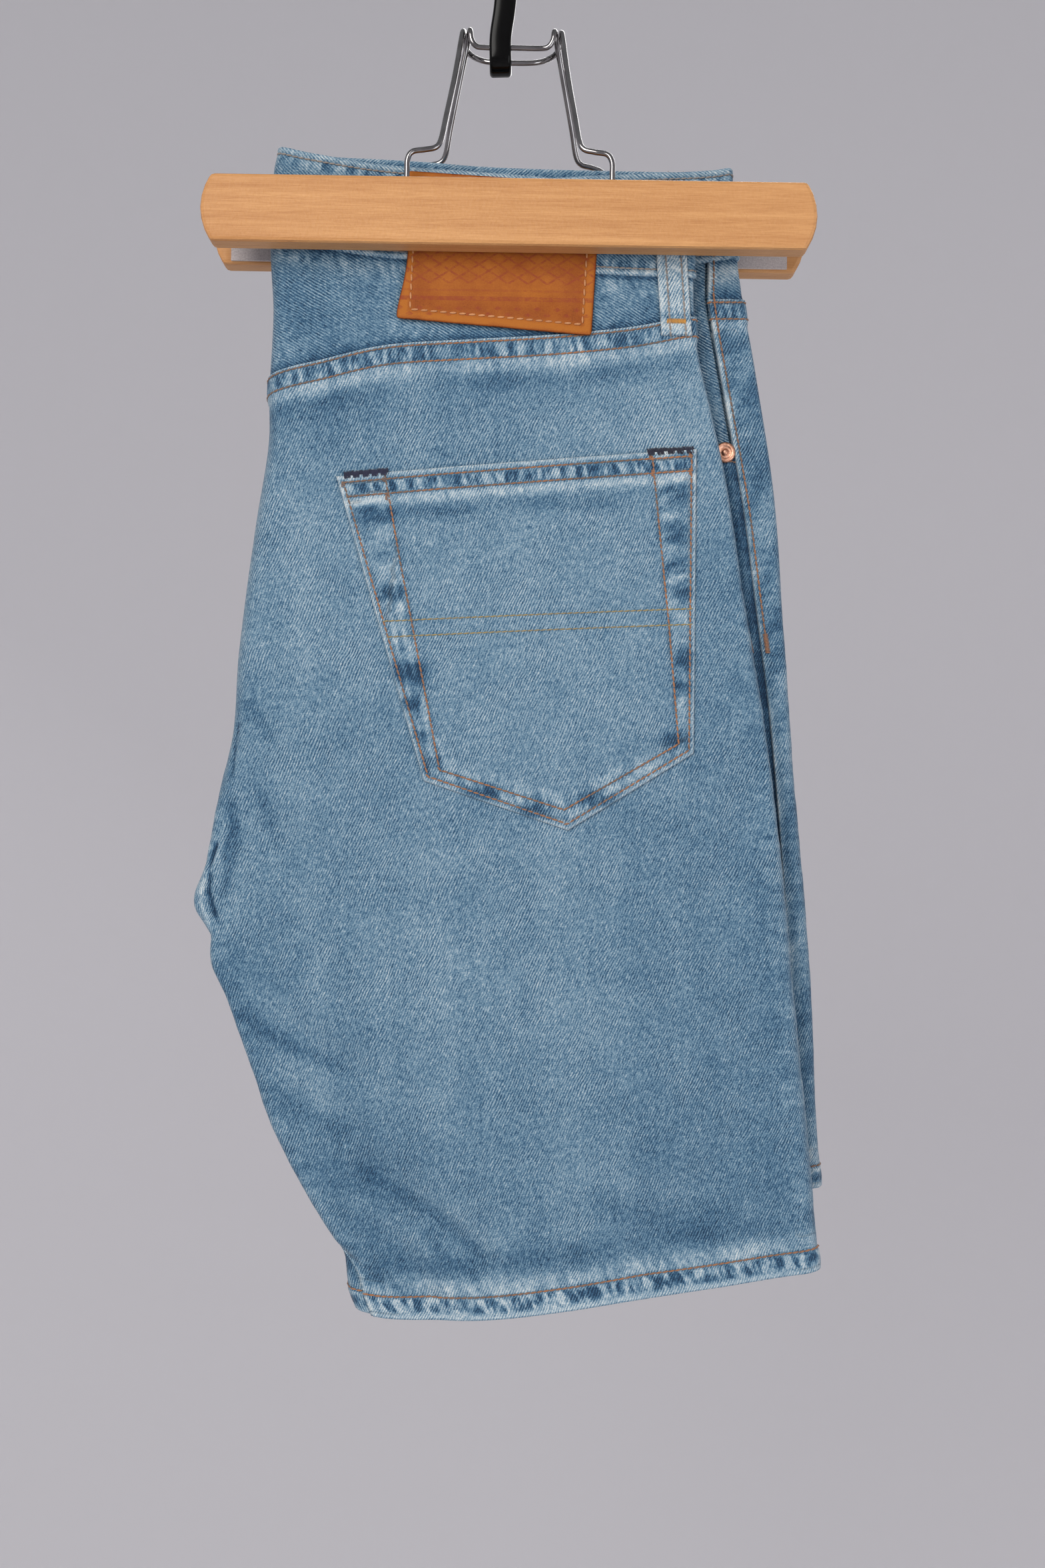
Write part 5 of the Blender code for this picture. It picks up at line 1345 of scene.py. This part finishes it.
def loop_grid():
    """Places across and down a loop, and its lift, tone and weave coordinates there."""
    u, v = grid_of(joined(LOOP_RIM, spaced(LOOP_RIM[-1], 1 - LOOP_RIM[-1], 0.05), 1 - LOOP_RIM[::-1]),
                   joined(LOOP_END_RIM, spaced(LOOP_END_RIM[-1], 1 - LOOP_END_RIM[-1], 0.015),
                          1 - LOOP_END_RIM[::-1]))
    length = BAND_HEIGHT + LOOP_DROP["back"]
    down, side = v * length, np.minimum(u, 1 - u) * LOOP_WIDTH
    from_foot = length - down
    rim = np.minimum(side, np.minimum(down, from_foot))
    lift = (lip(rim, 0.9, 1.1) - 0.25 * bell(side, 2.6, 0.6)
            + 0.12 * ropes(down, 6.0, 1.0) * bell(side, 1.2, 1.2)
            + 0.7 * bell(from_foot, 2.6, 2.4) - 0.35 * bell(from_foot, 6.0, 1.0))
    # pale edges and stripes are wear; the darker band above the folded end and its dark foot edge are
    # painted shade
    tone = (0.52 + 0.25 * bell(side, 0.3, 0.9) - 0.12 * bell(side, 2.6, 0.7)
            + 0.12 * ropes(down, 7.0, 2.0) - 0.40 * bell(from_foot, 8.0, 1.6)
            - 0.30 * bell(from_foot, 0.0, 0.8) + 0.15 * bell(from_foot, 3.0, 2.0))
    return u, v, lift, tone, np.stack([u * LOOP_WIDTH, -down], -1)


def loop_piece(name, points, u, v, tone, weave):
    made = woven(f"loop_cloth_{name}", NEAR, points, tone, LOOP_WALL, DENIM_LOOP, weave=weave)
    worn_part(made, "denim", f"loop_{name}")
    stitched(f"loop_cloth_{name}_stitches", [seam(NEAR, points, u, share, 1) for share in LOOP_ROWS], DULL)
    inside = (u[0] > LOOP_TACK_SPAN[0]) & (u[0] < LOOP_TACK_SPAN[1])
    tacks = [seam(NEAR, points[:, inside], v[:, inside], share, 0) for share in LOOP_TACKS]
    stitched(f"loop_cloth_{name}_tacks", tacks, GOLD, pitch=0.62, width=0.66, **BAR_TACK)


def belt_loop(name, half, panel, x_top, x_foot):
    """A loop over the back or the front of a half, whose middle runs from x_top to x_foot."""
    span = BACK_SPAN if panel == "back" else FRONT_SPAN
    u, v, lift, tone, weave = loop_grid()
    top = read(WAIST[half], place_of(half, x_top, BAND_LEVEL, span)) + LOOP_RISE
    drop = BAND_HEIGHT + LOOP_DROP[panel]
    middle, z = mix(x_top, x_foot, v), top - drop * v
    facing_out = half if panel == "back" else -half
    behind = cloth(half, place_of(half, middle - 2.0, z, span), z, LAID_ON + LOOP_WALL)
    x = middle - facing_out * LOOP_WIDTH * (u - 0.5)
    points = np.stack([x, behind[..., 1] + facing_out * lift, z], -1)
    loop_piece(name, points, u, v, tone, weave)


for loop_row in LOOPS:
    belt_loop(*loop_row)


def centre_loop():
    u, v, lift, tone, weave = loop_grid()
    s = mix(LOOP_BACK_PLACES[1], LOOP_BACK_PLACES[0], u)
    z = read(WAIST[FAR], s) + LOOP_RISE - (BAND_HEIGHT + LOOP_DROP["back"]) * v
    points = cloth(FAR, s, z, LAID_ON + LOOP_WALL + lift)
    loop_piece("back", points, u, v, tone, weave)


centre_loop()


# --- Rivets and button -------------------------------------------------------------------------
# Plain pressed copper, a little dulled: each rivet is a raised ring round a nub, set through the
# corners of the hand pockets, and the button is a flat disc with a rolled rim.
def speckled(name, colour, stops, noise, roughness, metallic=0.0, bump=None):
    """A material mottled between two colours by a noise, which is also its bump (height, strength)."""
    made, shader = principled(name, colour, roughness, metallic)
    tree = made.node_tree
    place = add_node(tree, "ShaderNodeTexCoord").outputs["Object"]
    speckle = texture(tree, "ShaderNodeTexNoise", place, noise).outputs["Fac"]
    tree.links.new(ramped(tree, speckle, stops), shader.inputs["Base Color"])
    if bump:
        bumped(tree, speckle, *bump, shader)
    return made, shader


COPPER, _ = speckled("aged_copper", (0.60, 0.27, 0.13),
                     ((0.35, (0.52, 0.24, 0.15)), (0.65, (0.86, 0.50, 0.35))),
                     {"Scale": 900.0, "Detail": 3.0}, 0.42, 1.0, bump=(0.08 * MM, 0.5))


def turned(name, node, profile, place, out):
    """A copper piece turned from a profile (radius, height), top to bottom, in millimetres."""
    shape = bmesh.new()
    line = [shape.verts.new(Vector((radius, 0.0, height)) * MM) for radius, height in profile]
    edges = [shape.edges.new(pair) for pair in zip(line, line[1:])]
    bmesh.ops.spin(shape, geom=line + edges, cent=(0, 0, 0), axis=(0, 0, 1), angle=2 * pi, steps=40,
                   use_merge=True)
    bmesh.ops.remove_doubles(shape, verts=shape.verts, dist=0.005 * MM)
    bmesh.ops.recalc_face_normals(shape, faces=shape.faces)
    turn = Vector(out).to_track_quat('Z', 'Y').to_matrix().to_4x4()
    bmesh.ops.transform(shape, matrix=Matrix.Translation(Vector(place) * MM) @ turn, verts=shape.verts)
    return worn_part(finished(name, shape, COPPER), "copper", node)


RIVET_PROFILE = ((0.0, 1.45), (0.7, 1.4), (1.2, 1.05), (1.5, 0.6), (2.2, 0.55), (2.7, 0.95), (3.3, 1.15),
                 (3.9, 0.95), (4.3, 0.5), (4.4, 0.0), (0.0, 0.0))
BUTTON_PROFILE = ((0.0, 1.0), (5.6, 1.05), (6.2, 1.3), (7.3, 1.5), (8.1, 1.2), (8.5, 0.7), (8.5, 0.0),
                  (0.0, 0.0))
RIVETS = (("left_side", FAR, 91.5, -236.4), ("left_front", FAR, -16.0, -177.0),
          ("right_side", NEAR, 84.0, -247.5), ("right_front", NEAR, -28.0, -182.0))
RIVET_LIFT, BUTTON_X, BUTTON_Z = 0.9, -71.0, -150.0


def on_front(half, x, z, lift):
    """A point on the front of a half."""
    x, z = np.array([x]), np.array([z])
    return cloth(half, place_of(half, x, z, FRONT_SPAN), z, lift)[0]


for name, half, x, z in RIVETS:
    turned(f"rivet_cap_{name}", f"rivet_{name}", RIVET_PROFILE, on_front(half, x, z, RIVET_LIFT),
           (0, -half, 0))
turned("button_cap", "waist_button", BUTTON_PROFILE, on_front(FAR, BUTTON_X, BUTTON_Z, LAID_ON), (0, -1, 0))


# --- The hanger --------------------------------------------------------------------------------
# Two bars of lacquered beech lined with felt, held by bent chromed wire, on a flat steel hook with
# a glossy black coating.
def beech():
    made, shader = principled("lacquered_beech", (0.60, 0.31, 0.12), 0.48)
    tree = made.node_tree
    place = add_node(tree, "ShaderNodeTexCoord").outputs["Object"]
    grain = texture(tree, "ShaderNodeTexNoise", mapped(tree, place, scale=(2.5, 60.0, 80.0)),
                    {"Scale": 3.0, "Detail": 5.0, "Roughness": 0.6, "Distortion": 0.3})
    flecks = texture(tree, "ShaderNodeTexNoise", mapped(tree, place, scale=(30.0, 300.0, 700.0)),
                     {"Scale": 4.0, "Detail": 2.0})
    mixed = weighted(tree, 0.5, (grain.outputs["Fac"], 1.3), (flecks.outputs["Fac"], 0.8))
    tree.links.new(ramped(tree, mixed, ((0.15, (0.48, 0.215, 0.076)), (0.85, (0.67, 0.345, 0.138)))),
                   shader.inputs["Base Color"])
    peel = texture(tree, "ShaderNodeTexNoise", place, {"Scale": 700.0, "Detail": 2.0})
    bumped(tree, peel.outputs["Fac"], 0.3 * MM, 0.8, shader)
    shader.inputs["Specular IOR Level"].default_value = 0.26
    return made


BEECH = beech()
FELT, felt_shader = speckled("grey_felt", (0.30, 0.24, 0.22),
                             ((0.3, (0.40, 0.34, 0.33)), (0.7, (0.66, 0.60, 0.58))),
                             {"Scale": 1400.0, "Detail": 4.0, "Roughness": 0.7}, 0.95,
                             bump=(0.25 * MM, 0.8))
felt_shader.inputs["Sheen Weight"].default_value = 0.3
MARKS = {"Scale": 160.0, "Detail": 4.0}
CHROME, _ = speckled("chrome_wire_finish", (0.32, 0.31, 0.31),
                     ((0.3, (0.22, 0.21, 0.21)), (0.7, (0.32, 0.31, 0.31))), MARKS, 0.09, 1.0)
BLACK, black_shader = speckled("black_gloss", (0.002, 0.002, 0.002),
                               ((0.3, (0.001, 0.001, 0.001)), (0.7, (0.002, 0.002, 0.002))), MARKS, 0.13)
black_shader.inputs["Specular IOR Level"].default_value = 0.16
for node, finish in (("jaw_front", BEECH), ("jaw_rear", BEECH), ("felt_front", FELT), ("felt_rear", FELT)):
    for material_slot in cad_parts[node].material_slots:
        material_slot.material = finish

WIRE, WIRE_FOOT = 2.3, -141.0
BAIL_FRONT = ((41.8, -18.5, WIRE_FOOT), (41.8, -18.5, -128.0), (41.6, -18.5, -122.6),
              (39.6, -18.3, -119.4), (34.5, -18.0, -118.4), (30.2, -17.5, -117.2),
              (28.2, -16.4, -113.6), (26.4, -12.9, -103.0), (23.3, -6.6, -84.0),
              (21.0, -1.6, -66.8), (20.5, 0.3, -63.4), (20.2, 2.6, -63.3), (20.0, 5.0, -66.2),
              (18.6, 5.8, -69.8), (15.4, 4.4, -72.8), (11.2, 1.9, -75.1), (6.5, 1.2, -75.8),
              (0.0, 1.2, -75.9))
BAIL_REAR = ((41.6, 18.5, WIRE_FOOT), (41.6, 18.5, -127.0), (41.2, 18.5, -119.6),
             (38.8, 18.3, -115.6), (34.2, 18.0, -113.8), (30.0, 17.5, -112.8),
             (27.6, 16.2, -109.6), (25.6, 12.6, -99.6), (21.6, 6.0, -81.4),
             (18.4, 1.4, -66.8), (17.7, -0.6, -63.4), (17.4, -2.2, -64.4), (16.9, -2.6, -67.6),
             (15.2, -2.3, -70.0), (12.0, -2.0, -70.7), (0.0, -2.0, -70.7))
HOOK_WIDTH, HOOK_WALL, HOOK_ROUND = 9.0, 4.0, 1.5
HOOK_CROWN, HOOK_THROAT, HOOK_FOOT, HOOK_LEAN, HOOK_SWAY = 10.0, 3.5, -78.2, 3.2, -68.0


def smooth_path(points, step):
    """Points along a Catmull-Rom curve through the given ones, evenly spread."""
    knots = np.array(points, float)
    knots = np.vstack([2 * knots[0] - knots[1], knots, 2 * knots[-1] - knots[-2]])
    t = np.arange(0, 1, 1 / 16)[:, None]
    fine = [b + 0.5 * ((c - a) * t + (2 * a - 5 * b + 4 * c - d) * t ** 2
                       + (3 * b - a - 3 * c + d) * t ** 3)
            for a, b, c, d in zip(knots, knots[1:], knots[2:], knots[3:])]
    fine = np.vstack(fine + [knots[-2:-1]])
    travelled = way_along(fine)
    even = np.linspace(0.0, travelled[-1], int(travelled[-1] / step) + 1)
    return np.stack([np.interp(even, travelled, fine[:, axis]) for axis in range(3)], -1)


def swept(name, node, path, outline, first_side, finish, slot):
    """A bar along a path; its outline (side, out) is a closed ring, its ends are rounded off."""
    along = np.gradient(path, axis=0)
    along /= np.linalg.norm(along, axis=1, keepdims=True)
    side, sides = np.array(first_side, float), []
    for way in along:
        side = side - way * side.dot(way)
        side /= np.linalg.norm(side)
        sides.append(side)
    sides = np.array(sides)
    outs = np.cross(along, sides)
    travelled = way_along(path)
    reach = np.abs(outline).max(axis=0).min()
    size = quarter(np.minimum(travelled, travelled[-1] - travelled) / reach)[:, None, None]
    ring = np.vstack([outline, outline[:1]])
    points = path[:, None] + size * (ring[None, :, :1] * sides[:, None] + ring[None, :, 1:] * outs[:, None])
    made = woven(name, FAR, points, 0.0, 0.0, finish, closed=True)
    shape = bmesh.new()
    shape.from_mesh(made.data)
    bmesh.ops.recalc_face_normals(shape, faces=shape.faces)
    shape.to_mesh(made.data)
    shape.free()
    return worn_part(made, slot, node)


def ring_of(half_width, half_wall, corner, count):
    """A rounded rectangle as a ring of points."""
    turn = np.linspace(0.0, 2 * pi, count, endpoint=False) + pi / count
    ring = np.stack([np.cos(turn), np.sin(turn)], -1)
    return ring * corner + np.sign(ring) * (half_width - corner, half_wall - corner)


round_wire = ring_of(WIRE / 2, WIRE / 2, WIRE / 2, 16)
for name, node, route in (("wire_front", "bail_front", BAIL_FRONT), ("wire_rear", "bail_rear", BAIL_REAR)):
    mirrored = [(-x, y, z) for x, y, z in route[:-1]]
    swept(name, node, smooth_path(list(route) + mirrored[::-1], 0.55), round_wire, (0, 1, 0), CHROME,
          "chrome_wire")


def hook_path():
    """Middle line of the flat bar: a crown over the rail above, a small bend below."""
    crown, bend = HOOK_CROWN + HOOK_WALL / 2, HOOK_THROAT + HOOK_WALL / 2
    bend_z = HOOK_FOOT + HOOK_THROAT
    route = [(crown * cos(a), -HOOK_CROWN + crown * sin(a))
             for a in (radians(d) for d in range(-30, 181, 15))]
    route += [(-crown + 0.9, -22.0), (-crown + 3.6, -38.0), (-bend - 0.6, -56.0), (-bend, -68.0)]
    route += [(bend * cos(a), bend_z + bend * sin(a)) for a in (radians(d) for d in range(180, 361, 20))]
    route.append((bend, bend_z + 5.0))
    line = smooth_path([(0.0, y, z) for y, z in route], 0.8)
    tilt = radians(HOOK_LEAN)
    x, z = line[:, 2] * sin(tilt), line[:, 2] * cos(tilt)
    return np.stack([x - bell(z, HOOK_SWAY, 9.0), line[:, 1], z], -1)


swept("hook_bar", "hook", hook_path(), ring_of(HOOK_WIDTH / 2, HOOK_WALL / 2, HOOK_ROUND, 32), (1, 0, 0),
      BLACK, "black_coat")
